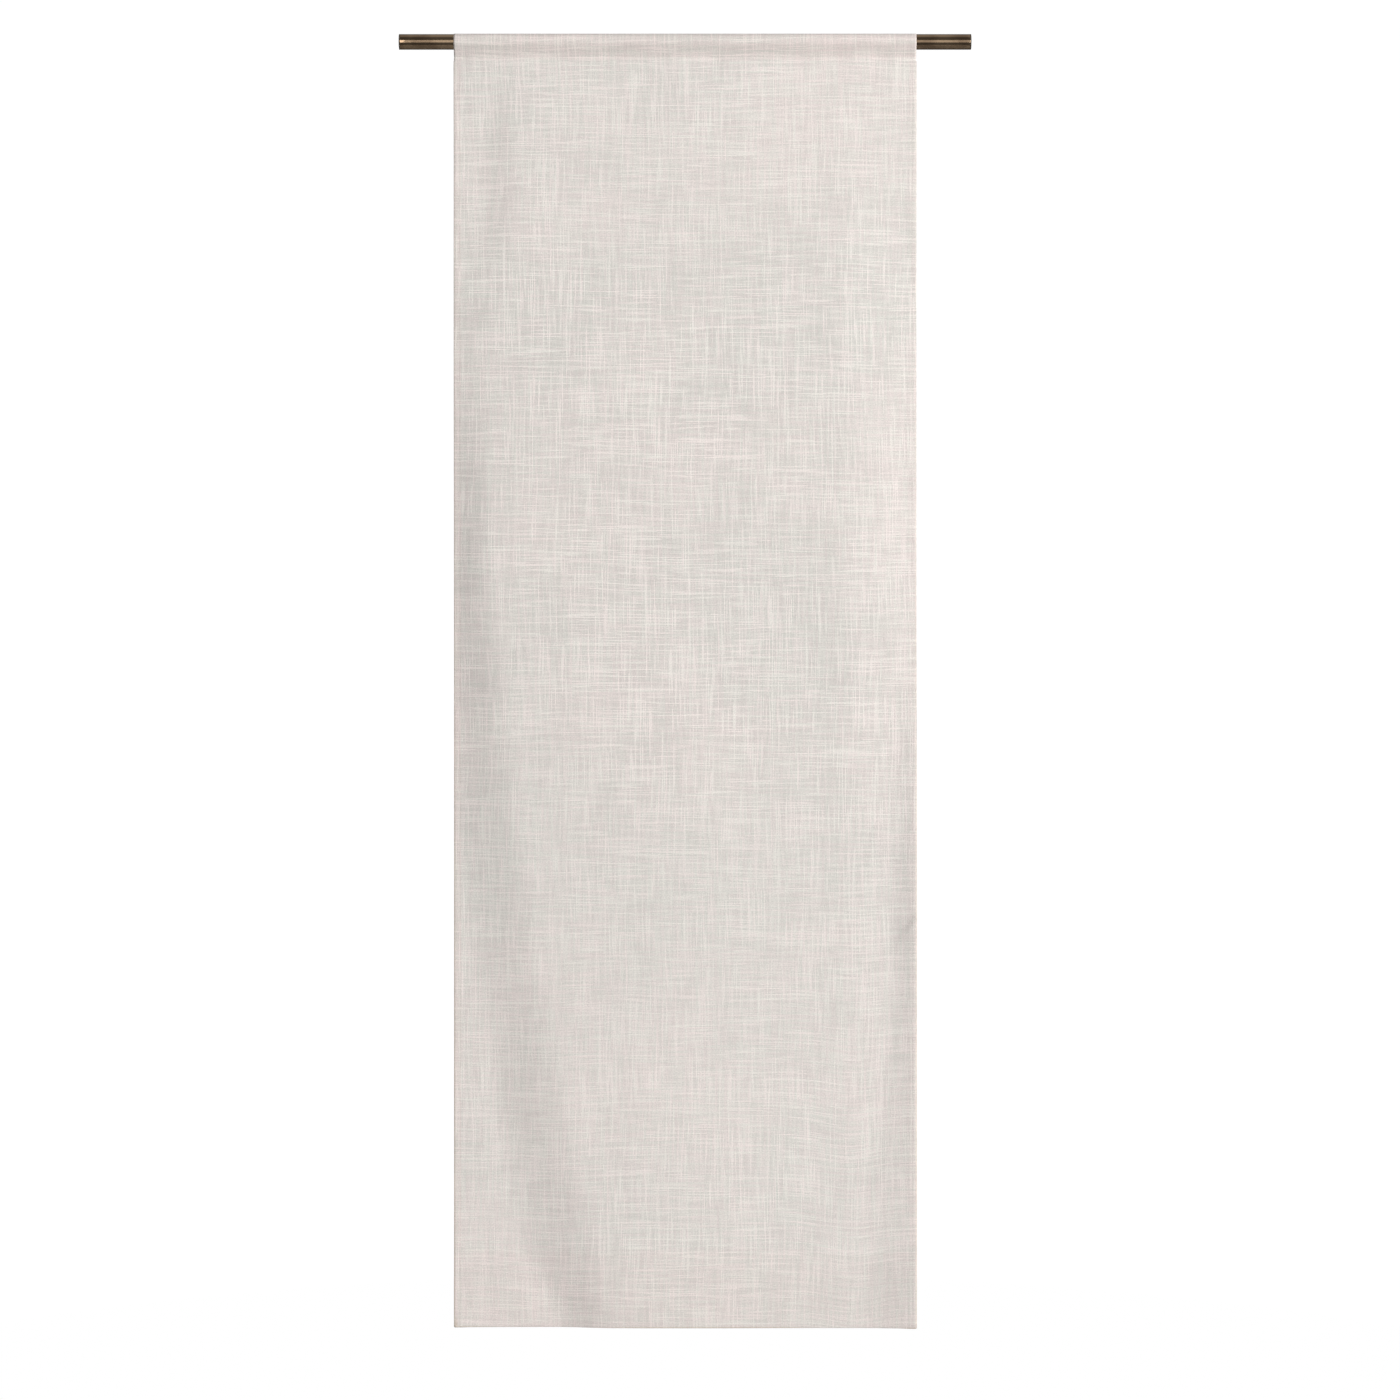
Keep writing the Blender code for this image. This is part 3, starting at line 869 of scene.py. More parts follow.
def slub_weave_group():
    """Plain weave with slubs in both directions, from a flat place on the cloth in metres."""
    group, start, end = new_group("slub_weave", ("Yarn Pitch", "Slub Pitch", "Slub Length"),
                                  ("Slub", "Tone", "Patch", "Hue", "Fleck", "Height"))
    flat_u, flat_v, _ = parts(group, start.outputs["Place"])
    sways = [grain(group, place(group, flat_u, flat_v, seed), 3.5, 1.0) for seed in (3.0, 8.0)]
    u, v = [calc(group, "MULTIPLY_ADD", calc(group, "SUBTRACT", sway, 0.5), YARN_SWAY, flat)
            for sway, flat in zip(sways, (flat_u, flat_v))]

    slub_pitch, slub_length = start.outputs["Slub Pitch"], start.outputs["Slub Length"]
    weft_slub, weft_tone, weft_round = yarn_rows(group, v, u, slub_pitch, slub_length, 2.0)
    warp_slub, warp_tone, warp_round = yarn_rows(group, u, v, slub_pitch, slub_length, 40.0)
    slub = slub_shares(group, u, v, (weft_slub, warp_slub), (weft_round, warp_round))

    broad = calc(group, "MULTIPLY", slub_pitch, 2.3)
    weft_hue = yarn_rows(group, v, u, broad, slub_length, 71.0)[0]
    warp_hue = yarn_rows(group, u, v, broad, slub_length, 93.0)[0]
    hue = remap(group, calc(group, "ADD", weft_hue, warp_hue), 0.78, 1.22)
    fleck = grain(group, place(group, u, v, 27.0), 480.0, 1.0)
    pitch = start.outputs["Yarn Pitch"]
    turns = [calc(group, "MULTIPLY", calc(group, "DIVIDE", flat, pitch), math.pi) for flat in (u, v)]
    over = calc(group, "MULTIPLY", *[calc(group, "COSINE", turn) for turn in turns])
    weave = calc(group, "MULTIPLY_ADD", over, 0.5, 0.5)
    height = calc(group, "MULTIPLY_ADD", slub, 1.2, weave)
    tone = calc(group, "MULTIPLY", calc(group, "ADD", weft_tone, warp_tone), 0.5)
    patch = grain(group, place(group, u, v, 50.0), 3.0, 3.0, 0.55)
    for label, value in (("Slub", slub), ("Tone", tone), ("Patch", patch), ("Hue", hue), ("Fleck", fleck),
                         ("Height", height)):
        group.links.new(value, end.inputs[label])
    return group


def wear_group():
    """Fine handling marks and dust on a hard surface, from a place in metres."""
    group, start, end = new_group("handling_wear", ("Scale",), ("Mottle", "Streak", "Speck"))
    spot, scale = start.outputs["Place"], start.outputs["Scale"]
    x, y, z = parts(group, spot)
    mottle = grain(group, spot, scale, 4.0)
    drawn = place(group, calc(group, "MULTIPLY", x, 0.03), y, z)
    streak = grain(group, drawn, calc(group, "MULTIPLY", scale, 14.0), 2.0)
    dust = grain(group, spot, calc(group, "MULTIPLY", scale, 9.0), 1.0)
    for label, value in (("Mottle", mottle), ("Streak", streak), ("Speck", remap(group, dust, 0.66, 0.72))):
        group.links.new(value, end.inputs[label])
    return group


def new_material(name, roughness, metallic=0.0):
    """A material with its Principled shader; returns both with the node tree."""
    material = bpy.data.materials.new(name)
    material.use_nodes = True
    tree = material.node_tree
    shader = tree.nodes["Principled BSDF"]
    shader.inputs["Roughness"].default_value = roughness
    shader.inputs["Metallic"].default_value = metallic
    return material, tree, shader


def use_group(tree, group, **values):
    """Place a node group in a material and feed its inputs."""
    node = shade(tree, "ShaderNodeGroup", node_tree=group)
    for name, value in values.items():
        feed(tree, node.inputs[name.replace("_", " ")], value)
    return node


def bump(tree, shader, height, distance, strength=1.0):
    """Raise the surface by a height."""
    node = shade(tree, "ShaderNodeBump")
    node.inputs["Strength"].default_value = strength
    node.inputs["Distance"].default_value = distance
    tree.links.new(height, node.inputs["Height"])
    tree.links.new(node.outputs["Normal"], shader.inputs["Normal"])


def layered_shares(tree, flat, sizes):
    """Shares of painted light and shade: painted shade where the cloth lies in more layers (full along the
    left side hem, weaker along the right one, full in the pocket and half on the bottom hem), the pocket's
    painted brightening, the bottom hem's painted shade, and painted shade along the folded edges and at the
    bottom-left corner.
    """
    s, t, _ = parts(tree, flat)
    hem = sizes.side_hem
    # Painted shade along the side hems: full at the left, weaker at the right
    left = remap(tree, s, hem, hem + LAYER_EDGE, 1.0, 0.0)
    right = remap(tree, s, WIDTH - hem - LAYER_EDGE, WIDTH - hem, 0.0, 0.35)
    # The pocket: painted layer shade and a painted brightening
    pocket = remap(tree, t, LOOP - 0.003, LOOP + 0.003, 1.0, 0.0)
    # The bottom hem: half the painted layer shade and a painted shade of its own
    bottom = remap(tree, t, LENGTH - sizes.bottom_hem - 0.004, LENGTH - sizes.bottom_hem + 0.002, 0.0, 0.5)
    layer_shade = calc(tree, "MAXIMUM", calc(tree, "MAXIMUM", left, right), calc(tree, "MAXIMUM", pocket, bottom))
    near_left = calc(tree, "ABSOLUTE", s)
    near_right = calc(tree, "ABSOLUTE", calc(tree, "SUBTRACT", s, WIDTH))
    near_bottom = calc(tree, "ABSOLUTE", calc(tree, "SUBTRACT", t, LENGTH))
    # Painted shade along the folded side edges, growing lower down, along the bottom fold and at the
    # bottom-left corner
    fold = remap(tree, calc(tree, "MINIMUM", near_left, near_right), 0.0, 0.0017, 1.0, 0.0)
    fold = calc(tree, "MULTIPLY", fold, remap(tree, t, LOOP + 0.3, LOOP + 1.6, 0.35, 1.0))
    corner = remap(tree, near_left, 0.001, 0.008, 1.0, 0.0)
    corner = calc(tree, "MULTIPLY", corner, remap(tree, near_bottom, 0.0, 0.022, 1.0, 0.0))
    low = calc(tree, "MAXIMUM", remap(tree, near_bottom, 0.0, 0.0022, 1.0, 0.0), corner)
    return layer_shade, pocket, bottom, calc(tree, "MAXIMUM", fold, low)


def slub_cloth_material(settings):
    """Linen-look cloth: pale slubs on a grey-beige ground, with painted shade that makes it warmer and
    darker where layers lie together, a painted brightening of the pocket, and painted shade on the bottom
    hem and along its folded edges.
    """
    material, tree, shader = new_material("slub_cloth_finish", 0.88)
    weave = settings.weave
    flat = shade(tree, "ShaderNodeUVMap", uv_map="cloth").outputs["UV"]
    yarn = use_group(tree, bpy.data.node_groups["slub_weave"], Place=flat, Yarn_Pitch=weave.yarn_pitch,
                     Slub_Pitch=weave.slub_pitch, Slub_Length=weave.slub_length).outputs
    warm = remap(tree, yarn["Patch"], 0.36, 0.66, 0.0, 0.40)
    colour = blend_colour(tree, warm, (*weave.ground, 1.0), (*weave.blush, 1.0))
    colour = tinted(tree, colour, remap(tree, yarn["Tone"], 0.38, 0.62), grey(1.05), grey(0.93))
    colour = blend_colour(tree, yarn["Slub"], colour, (*weave.slub, 1.0))
    colour = tinted(tree, colour, remap(tree, yarn["Fleck"], 0.3, 0.7), grey(1.075), grey(0.925))
    colour = tinted(tree, colour, yarn["Hue"], ROSE_LEAN, GREEN_LEAN)
    # Painted light and shade: layer shade, the pocket's painted brightening, the bottom hem's painted shade
    # and painted shade along the folds
    layer_shade, pocket, bottom, fold = layered_shares(tree, flat, settings.cloth)
    for share, cast in ((layer_shade, (*weave.layered, 1.0)), (pocket, POCKET_PAINTED_LIGHT), (bottom, BOTTOM_PAINTED_SHADE),
                        (fold, FOLD_PAINTED_SHADE)):
        colour = tinted(tree, colour, share, cast)
    tree.links.new(colour, shader.inputs["Base Color"])
    tree.links.new(remap(tree, yarn["Slub"], 0.0, 1.0, 0.92, 0.78), shader.inputs["Roughness"])
    shader.inputs["Sheen Weight"].default_value = 0.20
    shader.inputs["Sheen Roughness"].default_value = 0.5
    shader.inputs["Specular IOR Level"].default_value = 0.25
    bump(tree, shader, yarn["Height"], 0.00018, 0.6)
    return material


def thread_material(settings):
    """Twisted polyester sewing thread with a slight shine."""
    material, tree, shader = new_material("sewing_thread_finish", 0.55)
    spot = shade(tree, "ShaderNodeTexCoord").outputs["Object"]
    tone = grain(tree, spot, 900.0, 2.0)
    colour = (*settings.seam.colour, 1.0)
    darker = tuple(0.88 * value for value in settings.seam.colour) + (1.0,)
    tree.links.new(blend_colour(tree, tone, darker, colour), shader.inputs["Base Color"])
    shader.inputs["Sheen Weight"].default_value = 0.2
    bump(tree, shader, grain(tree, spot, 2600.0, 1.0), 0.00005, 0.6)
    return material


def bronze_material(settings):
    """Antique bronze finish on drawn steel tube."""
    material, tree, shader = new_material("bronzed_steel_finish", 0.27, 1.0)
    rod = settings.rod
    spot = shade(tree, "ShaderNodeTexCoord").outputs["Object"]
    wear = use_group(tree, bpy.data.node_groups["handling_wear"], Place=spot, Scale=40.0)
    shares = remap(tree, wear.outputs["Mottle"], 0.35, 0.65)
    base = blend_colour(tree, shares, (*rod.bronze, 1.0), (*rod.patina, 1.0))
    tree.links.new(base, shader.inputs["Base Color"])
    rough = calc(tree, "MULTIPLY_ADD", wear.outputs["Streak"], 0.09, 0.09)
    tree.links.new(rough, shader.inputs["Roughness"])
    bump(tree, shader, wear.outputs["Streak"], 0.00003, 0.15)
    return material


def plug_material(settings):
    """Moulded brown plastic with a fine texture."""
    material, tree, shader = new_material("plug_plastic_finish", 0.5)
    shader.inputs["Specular IOR Level"].default_value = 0.3
    spot = shade(tree, "ShaderNodeTexCoord").outputs["Object"]
    wear = use_group(tree, bpy.data.node_groups["handling_wear"], Place=spot, Scale=160.0)
    colour = (*settings.rod.plug, 1.0)
    pale = tuple(min(1.0, 1.6 * value) for value in settings.rod.plug) + (1.0,)
    tree.links.new(blend_colour(tree, wear.outputs["Speck"], colour, pale), shader.inputs["Base Color"])
    rough = calc(tree, "MULTIPLY_ADD", wear.outputs["Mottle"], 0.25, 0.38)
    tree.links.new(rough, shader.inputs["Roughness"])
    bump(tree, shader, grain(tree, spot, 3000.0, 2.0), 0.00004, 0.5)
    return material


def label_material():
    """White satin tape, woven in fine ribs, with nothing printed on it."""
    material, tree, shader = new_material("label_tape_finish", 0.42)
    flat = shade(tree, "ShaderNodeUVMap", uv_map="cloth").outputs["UV"]
    rib = calc(tree, "SINE", calc(tree, "MULTIPLY", parts(tree, flat)[0], math.tau / RIB_PITCH))
    rib = calc(tree, "MULTIPLY_ADD", rib, 0.5, 0.5)
    cloud = grain(tree, flat, 260.0, 2.0)
    shares = calc(tree, "MULTIPLY", calc(tree, "ADD", rib, cloud), 0.5)
    colour = blend_colour(tree, shares, (0.74, 0.73, 0.70, 1.0), (0.88, 0.87, 0.85, 1.0))
    tree.links.new(colour, shader.inputs["Base Color"])
    shader.inputs["Sheen Weight"].default_value = 0.3
    bump(tree, shader, rib, 0.00006, 0.5)
    return material


def floor_material():
    """Plain floor that the camera sees as white, and doesn't see at all from below."""
    material, tree, shader = new_material("studio_floor", 0.8)
    shader.inputs["Base Color"].default_value = grey(0.30)
    glow = shade(tree, "ShaderNodeEmission").outputs[0]
    clear = shade(tree, "ShaderNodeBsdfTransparent").outputs[0]
    seen = shade(tree, "ShaderNodeLightPath").outputs["Is Camera Ray"]
    below = shade(tree, "ShaderNodeNewGeometry").outputs["Backfacing"]
    top, both = shade(tree, "ShaderNodeMixShader"), shade(tree, "ShaderNodeMixShader")
    output = tree.nodes["Material Output"]
    for value, socket in ((seen, top.inputs[0]), (shader.outputs[0], top.inputs[1]), (glow, top.inputs[2]),
                          (below, both.inputs[0]), (top.outputs[0], both.inputs[1]), (clear, both.inputs[2]),
                          (both.outputs[0], output.inputs["Surface"])):
        tree.links.new(value, socket)
    return material


# Operators

class CURTAIN_OT_finishes(bpy.types.Operator):
    """Make the node groups and the materials of cloth, thread, metal, plastic and tape"""

    bl_idname = "curtain.finishes"
    bl_label = "Finishes"

    def execute(self, context):
        settings = context.scene.curtain
        slub_weave_group()
        wear_group()
        slub_cloth_material(settings)
        thread_material(settings)
        bronze_material(settings)
        plug_material(settings)
        label_material()
        return {"FINISHED"}


class CURTAIN_OT_cloth(bpy.types.Operator):
    """Hang the cloth: the pocket over the rod, the face, and the hems turned to its back"""

    bl_idname = "curtain.cloth"
    bl_label = "Cloth"

    def execute(self, context):
        sizes = context.scene.curtain.cloth
        cloth = add_object("curtain_cloth", cloth_mesh(sizes))
        cloth.data.materials.append(bpy.data.materials["slub_cloth_finish"])
        solid = cloth.modifiers.new("thickness", "SOLIDIFY")
        solid.thickness = sizes.thickness
        solid.offset = 0.0
        bend_with_panel(cloth)
        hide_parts("rod_pocket", "face_panel", "side_hem_left", "side_hem_right", "bottom_hem")
        return {"FINISHED"}


class CURTAIN_OT_seams(bpy.types.Operator):
    """Sew the pocket seam, the bar tacks and the hem seams, stitch by stitch"""

    bl_idname = "curtain.seams"
    bl_label = "Seams"

    def execute(self, context):
        sizes = context.scene.curtain.cloth
        seam = context.scene.curtain.seam
        self.pocket_seam(sizes, seam)
        self.hem_seams(sizes, seam)
        return {"FINISHED"}

    def finish_thread(self, name, mesh, node, body):
        """Give a row of stitches its thread, put it on the header's body or bake its place, and hide the
        node that it stands for.
        """
        thread = add_object(name, mesh)
        thread.data.materials.append(bpy.data.materials["sewing_thread_finish"])
        if body == "header":
            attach(thread, body)
        else:
            bend_with_panel(thread)
        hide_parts(node)

    def pocket_seam(self, sizes, seam):
        """The lockstitch under the rod, front and back, with a bar tack at each end."""
        start, length = SEAM_LOW.x - LEFT_X, SEAM_HIGH.x - SEAM_LOW.x
        skin = sizes.thickness / 2

        def front(distance):
            return cloth_frame(start + distance, SEAM_T, sizes)[:2]

        def back(distance):
            point, normal, _, _ = cloth_frame(start + distance, SEAM_T, sizes)
            return point + Vector((0.0, 2 * LAYER_Y, 0.0)), normal

        for name, path, side, node in (("pocket_seam_stitches", front, -1, "pocket_needle_thread"),
                                       ("pocket_seam_stitches_back", back, 1, "pocket_bobbin_thread")):
            holes = seam_points(path, length, seam.stitch)
            self.finish_thread(name, seam_mesh(name, holes, seam.radius, skin, side), node, "header")
        for side in ("left", "right"):
            low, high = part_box(f"pocket_bartack_{side}")
            name = f"bar_tack_{side}"
            tack = self.bar_tack(low, high, skin, sizes, seam)
            self.finish_thread(name, tack.build(name), f"pocket_bartack_{side}", "header")

    def bar_tack(self, low, high, skin, sizes, seam):
        """Close zigzag stitches over the end of the seam."""
        tack = StitchMesh(seam.radius)
        corners = []
        for step in range(seam.tack_stitches + 1):
            x = low.x + (high.x - low.x) * step / seam.tack_stitches
            z = low.z if step % 2 else high.z
            point, normal, _, _ = cloth_frame(x - LEFT_X, SEAM_T - (z - STITCH_Z), sizes)
            corners.append((point - normal * skin, -normal))
        for (start, outward), (end, _) in zip(corners, corners[1:]):
            tack.add(start, end, outward)
        return tack

    def hem_seams(self, sizes, seam):
        """The lockstitch rows along the side hems and the bottom hem, front and back."""
        top = LOOP + HEM_START + 0.002
        hem_t = LENGTH - sizes.bottom_hem
        side_in = sizes.side_hem - SEAM_MARGIN
        skin = sizes.thickness / 2

        def down_at(s):
            return lambda distance: cloth_frame(s, top + distance, sizes)[:2]

        def across(distance):
            return cloth_frame(SEAM_MARGIN + distance, hem_t + SEAM_MARGIN, sizes)[:2]

        def across_behind(distance):
            s = SEAM_MARGIN + distance
            point, normal = across(distance)
            return point + normal * hem_lift(s, sizes), normal

        hem_back = 2.2 * sizes.thickness + skin
        left, right = down_at(side_in), down_at(WIDTH - side_in)
        tall, wide = hem_t - top, WIDTH - 2 * SEAM_MARGIN
        rows = (
            ("left_hem_stitches", left, left, tall, "side_hem_{}_thread_left", hem_back),
            ("right_hem_stitches", right, right, tall, "side_hem_{}_thread_right", hem_back),
            ("bottom_hem_stitches", across, across_behind, wide, "bottom_hem_{}_thread", skin),
        )
        for name, front, back, length, node, behind in rows:
            for path, label, off, side, kind in ((front, name, skin, -1, "needle"),
                                                 (back, f"{name}_back", behind, 1, "bobbin")):
                holes = seam_points(path, length, seam.stitch)
                row = seam_mesh(label, holes, seam.radius, off, side)
                self.finish_thread(label, row, node.format(kind), "panel")


class CURTAIN_OT_label(bpy.types.Operator):
    """Sew the blank care label to the back of the cloth, beside the side hem"""

    bl_idname = "curtain.label"
    bl_label = "Care Label"

    def execute(self, context):
        sizes = context.scene.curtain.cloth
        seam = context.scene.curtain.seam
        tape = ClothMesh()
        left, top = LABEL_LOW.x - LEFT_X, LOOP + BEND.z - LABEL_HIGH.z
        wide, high = LABEL_HIGH.x - LABEL_LOW.x, LABEL_HIGH.z - LABEL_LOW.z
        rows = []
        for down in range(LABEL_ROWS + 1):
            row = []
            for along in range(LABEL_COLUMNS + 1):
                share, drop = along / LABEL_COLUMNS, down / LABEL_ROWS
                point, normal, _, _ = cloth_frame(left + wide * share, top + high * drop, sizes)
                free = smooth((share - LABEL_FLAT) / (1.0 - LABEL_FLAT))
                curl = LABEL_CURL * free ** 1.5 * (0.7 + 0.3 * drop)
                lift = sizes.thickness + LABEL_LIFT + curl
                row.append(tape.add(point + normal * lift, (wide * share, high * drop)))
            rows.append(row)
        for upper, lower in zip(rows, rows[1:]):
            tape.bridge(upper, lower)
        label = add_object("care_label_tape", tape.build("care_label_tape", "cloth"))
        label.data.materials.append(bpy.data.materials["label_tape_finish"])
        solid = label.modifiers.new("thickness", "SOLIDIFY")
        solid.thickness = LABEL_THICKNESS
        solid.offset = 0.0
        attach(label, "panel")
        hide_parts("care_label")
        self.sew_down(sizes, seam, left, top, high)
        return {"FINISHED"}

    def sew_down(self, sizes, seam, left, top, high):
        """The short seam that holds the label."""
        def path(distance):
            return cloth_frame(left + LABEL_SEAM_IN, top + LABEL_SEAM_END + distance, sizes)[:2]

        name = "care_label_stitches"
        holes = seam_points(path, high - 2 * LABEL_SEAM_END, 0.8 * seam.stitch)
        skin = sizes.thickness + LABEL_LIFT + LABEL_THICKNESS / 2
        stitches = add_object(name, seam_mesh(name, holes, seam.radius, skin, 1))
        stitches.data.materials.append(bpy.data.materials["sewing_thread_finish"])
        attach(stitches, "panel")
        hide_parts("care_label_thread")


class CURTAIN_OT_declare_cloth(bpy.types.Operator):
    """Gather the pieces sewn to the cloth and the width of a turned side hem; nothing further is done with
    them.
    """

    bl_idname = "curtain.declare_cloth"
    bl_label = "Cut Size"

    def execute(self, context):
        sizes = context.scene.curtain.cloth
        sewn = [piece for piece in bpy.data.objects
                if "stitches" in piece.name or piece.name.startswith(("bar_tack", "care_label_tape"))]
        turned = side_fold(sizes)[-1][3]
        return {"FINISHED"}


def turned_piece(name, profile, sides, material, turn):
    """A solid of revolution along X, from a profile of (radius, distance along the rod)."""
    builder = bmesh.new()
    corners = [builder.verts.new((radius, 0.0, along)) for radius, along in profile]
    for start, end in zip(corners, corners[1:]):
        builder.edges.new((start, end))
    if profile[0][0] > 0.0:
        builder.edges.new((corners[-1], corners[0]))
    mesh = bpy.data.meshes.new(name)
    builder.to_mesh(mesh)
    builder.free()
    piece = add_object(name, mesh)
    screw = piece.modifiers.new("turn", "SCREW")
    screw.axis = "Z"
    screw.steps = sides
    screw.render_steps = sides
    screw.use_merge_vertices = True
    screw.merge_threshold = 0.00001
    depsgraph = bpy.context.evaluated_depsgraph_get()
    turned = bpy.data.meshes.new_from_object(piece.evaluated_get(depsgraph))
    piece.modifiers.clear()
    piece.data = turned
    turned.name = name
    turned.transform(Matrix.Rotation(turn, 4, "Y"))
    turned.shade_smooth()
    turned.set_sharp_from_angle(angle=math.radians(35))
    turned.materials.clear()
    turned.materials.append(material)
    return piece


def rounded(corner, radius, first, second, steps=4):
    """Points that round one corner of a profile, from the first direction to the second."""
    centre = Vector(corner) + Vector(first) * radius + Vector(second) * radius
    points = []
    for step in range(steps + 1):
        angle = math.pi / 2 * step / steps
        out = Vector(second) * -math.cos(angle) + Vector(first) * -math.sin(angle)
        points.append(tuple(centre + out * radius))
    return points


class CURTAIN_OT_rod(bpy.types.Operator):
    """Make the bronzed tube and the two plugs that close it"""

    bl_idname = "curtain.rod"
    bl_label = "Rod"

    def execute(self, context):
        rod = context.scene.curtain.rod
        metal = bpy.data.materials["bronzed_steel_finish"]
        plastic = bpy.data.materials["plug_plastic_finish"]
        half, bore = TUBE_HIGH.x, ROD_RADIUS - TUBE_WALL
        top = rounded((ROD_RADIUS, half), rod.edge, (-1.0, 0.0), (0.0, -1.0))
        bottom = [(radius, -along) for radius, along in reversed(top)]
        plain = half - TUBE_END
        stations = [plain - 2 * plain * step / TUBE_STATIONS for step in range(TUBE_STATIONS + 1)]
        outside = [(ROD_RADIUS, along) for along in stations]
        profile = top + outside + bottom + [(bore, -half), (bore, half)]
        tube = turned_piece("curtain_rod", profile, rod.sides, metal, math.pi / 2)
        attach(tube, "rod")
        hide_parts("rod_tube")
        for side, name in ((-1, "left"), (1, "right")):
            self.plug(name, side, rod, plastic)
        return {"FINISHED"}

    def plug(self, name, side, rod, plastic):
        """A plug with a chamfered head, a shallow ring on its face and a mark where it was moulded."""
        face, inner = PLUG_HIGH.x, TUBE_HIGH.x + PLUG_CLEAR
        spigot = ROD_RADIUS - TUBE_WALL - PLUG_CLEAR
        profile = [
            (0.0, face - 0.0002),
            (0.0009, face - 0.0002),
            (0.0011, face),
            (0.0086, face),
            (0.0089, face - 0.0003),
            (0.0096, face - 0.0003),
            (0.0099, face),
            (ROD_RADIUS - 0.0004, face),
            (ROD_RADIUS - 0.0001, face - 0.0001),
            (ROD_RADIUS, face - 0.0004),
            (ROD_RADIUS, inner),
            (spigot, inner),
            (spigot, PLUG_LOW.x + 0.001),
            (spigot - 0.001, PLUG_LOW.x),
            (0.0, PLUG_LOW.x),
        ]
        piece = turned_piece(f"rod_cap_{name}", profile, rod.sides, plastic, side * math.pi / 2)
        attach(piece, "rod")
        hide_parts(f"rod_end_plug_{name}")


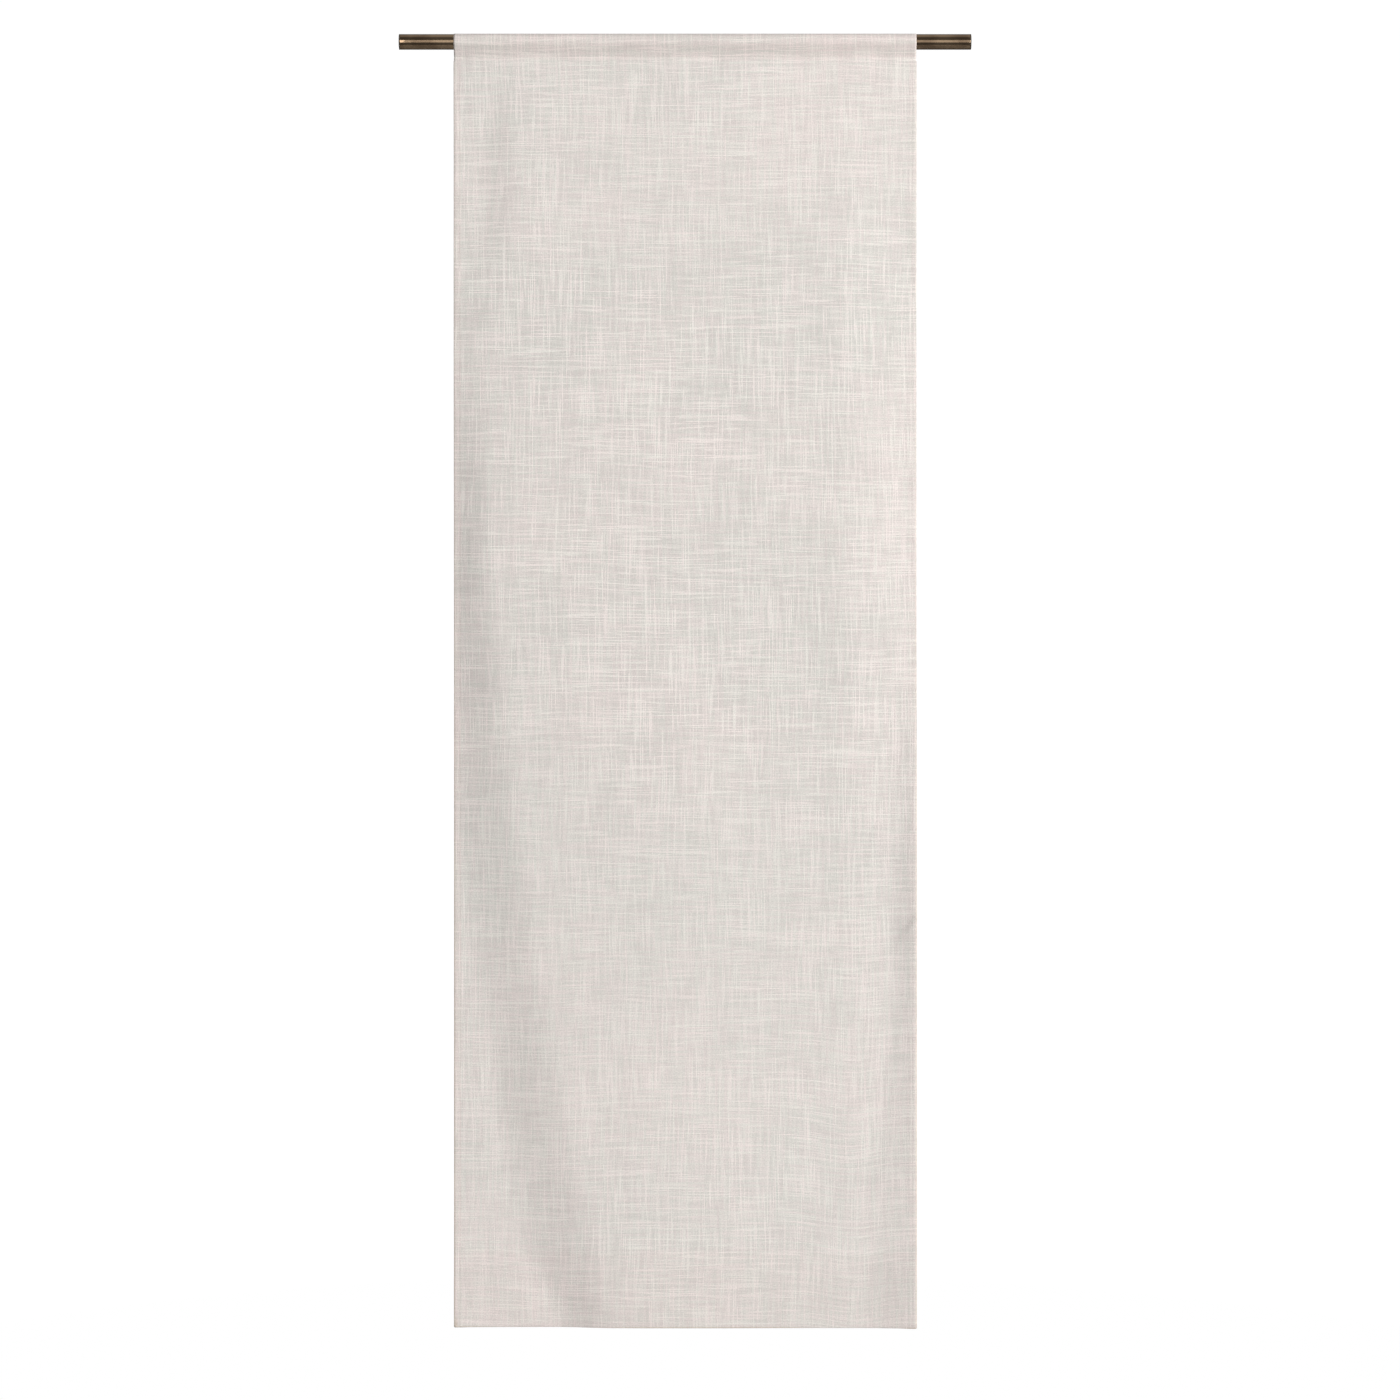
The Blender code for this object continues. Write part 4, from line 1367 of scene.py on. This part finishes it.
class CURTAIN_OT_studio(bpy.types.Operator):
    """Set up the floor, the lights, the white surroundings and the camera"""

    bl_idname = "curtain.studio"
    bl_label = "Studio"

    def execute(self, context):
        studio = context.scene.curtain.studio
        middle = Vector((0.0, 0.0, (POCKET_HIGH.z + PANEL_LOW.z) / 2))
        self.floor()
        self.surroundings(context.scene, studio)
        for name, at, target, size, power in (
                ("key_light", (7.2, -5.3, 1.3), middle, (3.1, 4.3), studio.key_power),
                ("fill_light", (-2.2, -4.7, 1.0), middle, (2.2, 3.0), studio.fill_power),
                ("top_light", (2.2, -1.0, 3.6), Vector(), (1.6, 1.6), studio.top_power),
                ("rear_light", (-3.8, 4.4, 0.6), middle, (2.2, 3.0), studio.rear_power),
                ("rod_strip", (0.0, -5.0, 1.1), Vector(), (5.0, 3.0), studio.strip_power)):
            self.softbox(name, middle + Vector(at), target, size, power)
        self.camera(context.scene, studio, middle)
        context.scene.view_settings.view_transform = "Standard"
        return {"FINISHED"}

    def floor(self):
        """A wide, pale floor a hand below the hem."""
        bpy.ops.mesh.primitive_circle_add(vertices=96, radius=FLOOR_RADIUS, fill_type="NGON",
                                          location=(0.0, 0.0, PANEL_LOW.z - FLOOR_BELOW))
        floor = bpy.context.object
        floor.name = "studio_floor"
        floor.data.materials.append(floor_material())

    def surroundings(self, scene, studio):
        """White all round for the camera, dimmer for the light that the room gives."""
        world = bpy.data.worlds.new("studio_white")
        world.use_nodes = True
        scene.world = world
        tree = world.node_tree
        background = tree.nodes["Background"]
        background.inputs["Color"].default_value = WHITE
        heading = parts(tree, shade(tree, "ShaderNodeTexCoord").outputs["Generated"])
        behind = remap(tree, heading["Y"], -0.6, -0.05, studio.ambient, studio.backdrop)
        above = remap(tree, heading["Z"], 0.45, 1.0)
        added = calc(tree, "SUBTRACT", behind, studio.ambient)
        light = calc(tree, "MULTIPLY_ADD", added, above, studio.ambient)
        seen = shade(tree, "ShaderNodeLightPath").outputs["Is Camera Ray"]
        strength = shade(tree, "ShaderNodeMix", data_type="FLOAT")
        for value, socket in ((seen, strength.inputs["Factor"]), (light, strength.inputs["A"]),
                              (WHITE_STRENGTH, strength.inputs["B"])):
            feed(tree, socket, value)
        tree.links.new(strength.outputs["Result"], background.inputs["Strength"])

    def softbox(self, name, location, target, size, power):
        """A large soft area light, aimed at a point."""
        light = bpy.data.lights.new(name, "AREA")
        light.shape = "RECTANGLE"
        light.size, light.size_y = size
        light.energy = power
        lamp = bpy.data.objects.new(name, light)
        lamp.location = location
        lamp.rotation_euler = (target - location).to_track_quat("-Z", "Y").to_euler()
        bpy.context.scene.collection.objects.link(lamp)

    def camera(self, scene, studio, middle):
        """A long lens, straight on to the cloth."""
        data = bpy.data.cameras.new("straight_on")
        data.lens = studio.lens
        distance = studio.lens * studio.view_width / data.sensor_width
        camera = bpy.data.objects.new("straight_on", data)
        camera.location = middle + Vector((studio.aside, -distance, -studio.below))
        camera.rotation_euler = (math.pi / 2, 0.0, 0.0)
        scene.collection.objects.link(camera)
        scene.camera = camera


class CurtainSettings(bpy.types.PropertyGroup):
    """All of the curtain's settings."""

    cloth: PointerProperty(type=CurtainClothSettings)
    weave: PointerProperty(type=CurtainWeaveSettings)
    seam: PointerProperty(type=CurtainSeamSettings)
    rod: PointerProperty(type=CurtainRodSettings)
    studio: PointerProperty(type=CurtainStudioSettings)


STEPS = (
    CURTAIN_OT_finishes,
    CURTAIN_OT_rod,
    CURTAIN_OT_cloth,
    CURTAIN_OT_seams,
    CURTAIN_OT_label,
    CURTAIN_OT_declare_cloth,
    CURTAIN_OT_studio,
)


class CURTAIN_PT_panel(bpy.types.Panel):
    """The curtain's steps and settings in the sidebar."""

    bl_idname = "CURTAIN_PT_panel"
    bl_label = "Curtain Panel"
    bl_space_type = "VIEW_3D"
    bl_region_type = "UI"
    bl_category = "Curtain"

    def draw(self, context):
        settings = context.scene.curtain
        for step in STEPS:
            self.layout.operator(step.bl_idname)
        for group in (settings.cloth, settings.weave, settings.seam, settings.rod, settings.studio):
            box = self.layout.box()
            for name in group.__annotations__:
                box.prop(group, name)


CLASSES = (
    CurtainClothSettings,
    CurtainWeaveSettings,
    CurtainSeamSettings,
    CurtainRodSettings,
    CurtainStudioSettings,
    CurtainSettings,
    *STEPS,
    CURTAIN_PT_panel,
)


def register():
    for item in CLASSES:
        bpy.utils.register_class(item)
    bpy.types.Scene.curtain = PointerProperty(type=CurtainSettings)


def unregister():
    del bpy.types.Scene.curtain
    for item in reversed(CLASSES):
        bpy.utils.unregister_class(item)


def main():
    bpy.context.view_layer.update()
    register()
    bpy.ops.curtain.finishes()
    bpy.ops.curtain.rod()
    bpy.ops.curtain.cloth()
    bpy.ops.curtain.seams()
    bpy.ops.curtain.label()
    bpy.ops.curtain.declare_cloth()
    bpy.ops.curtain.studio()


if __name__ == "__main__":
    main()
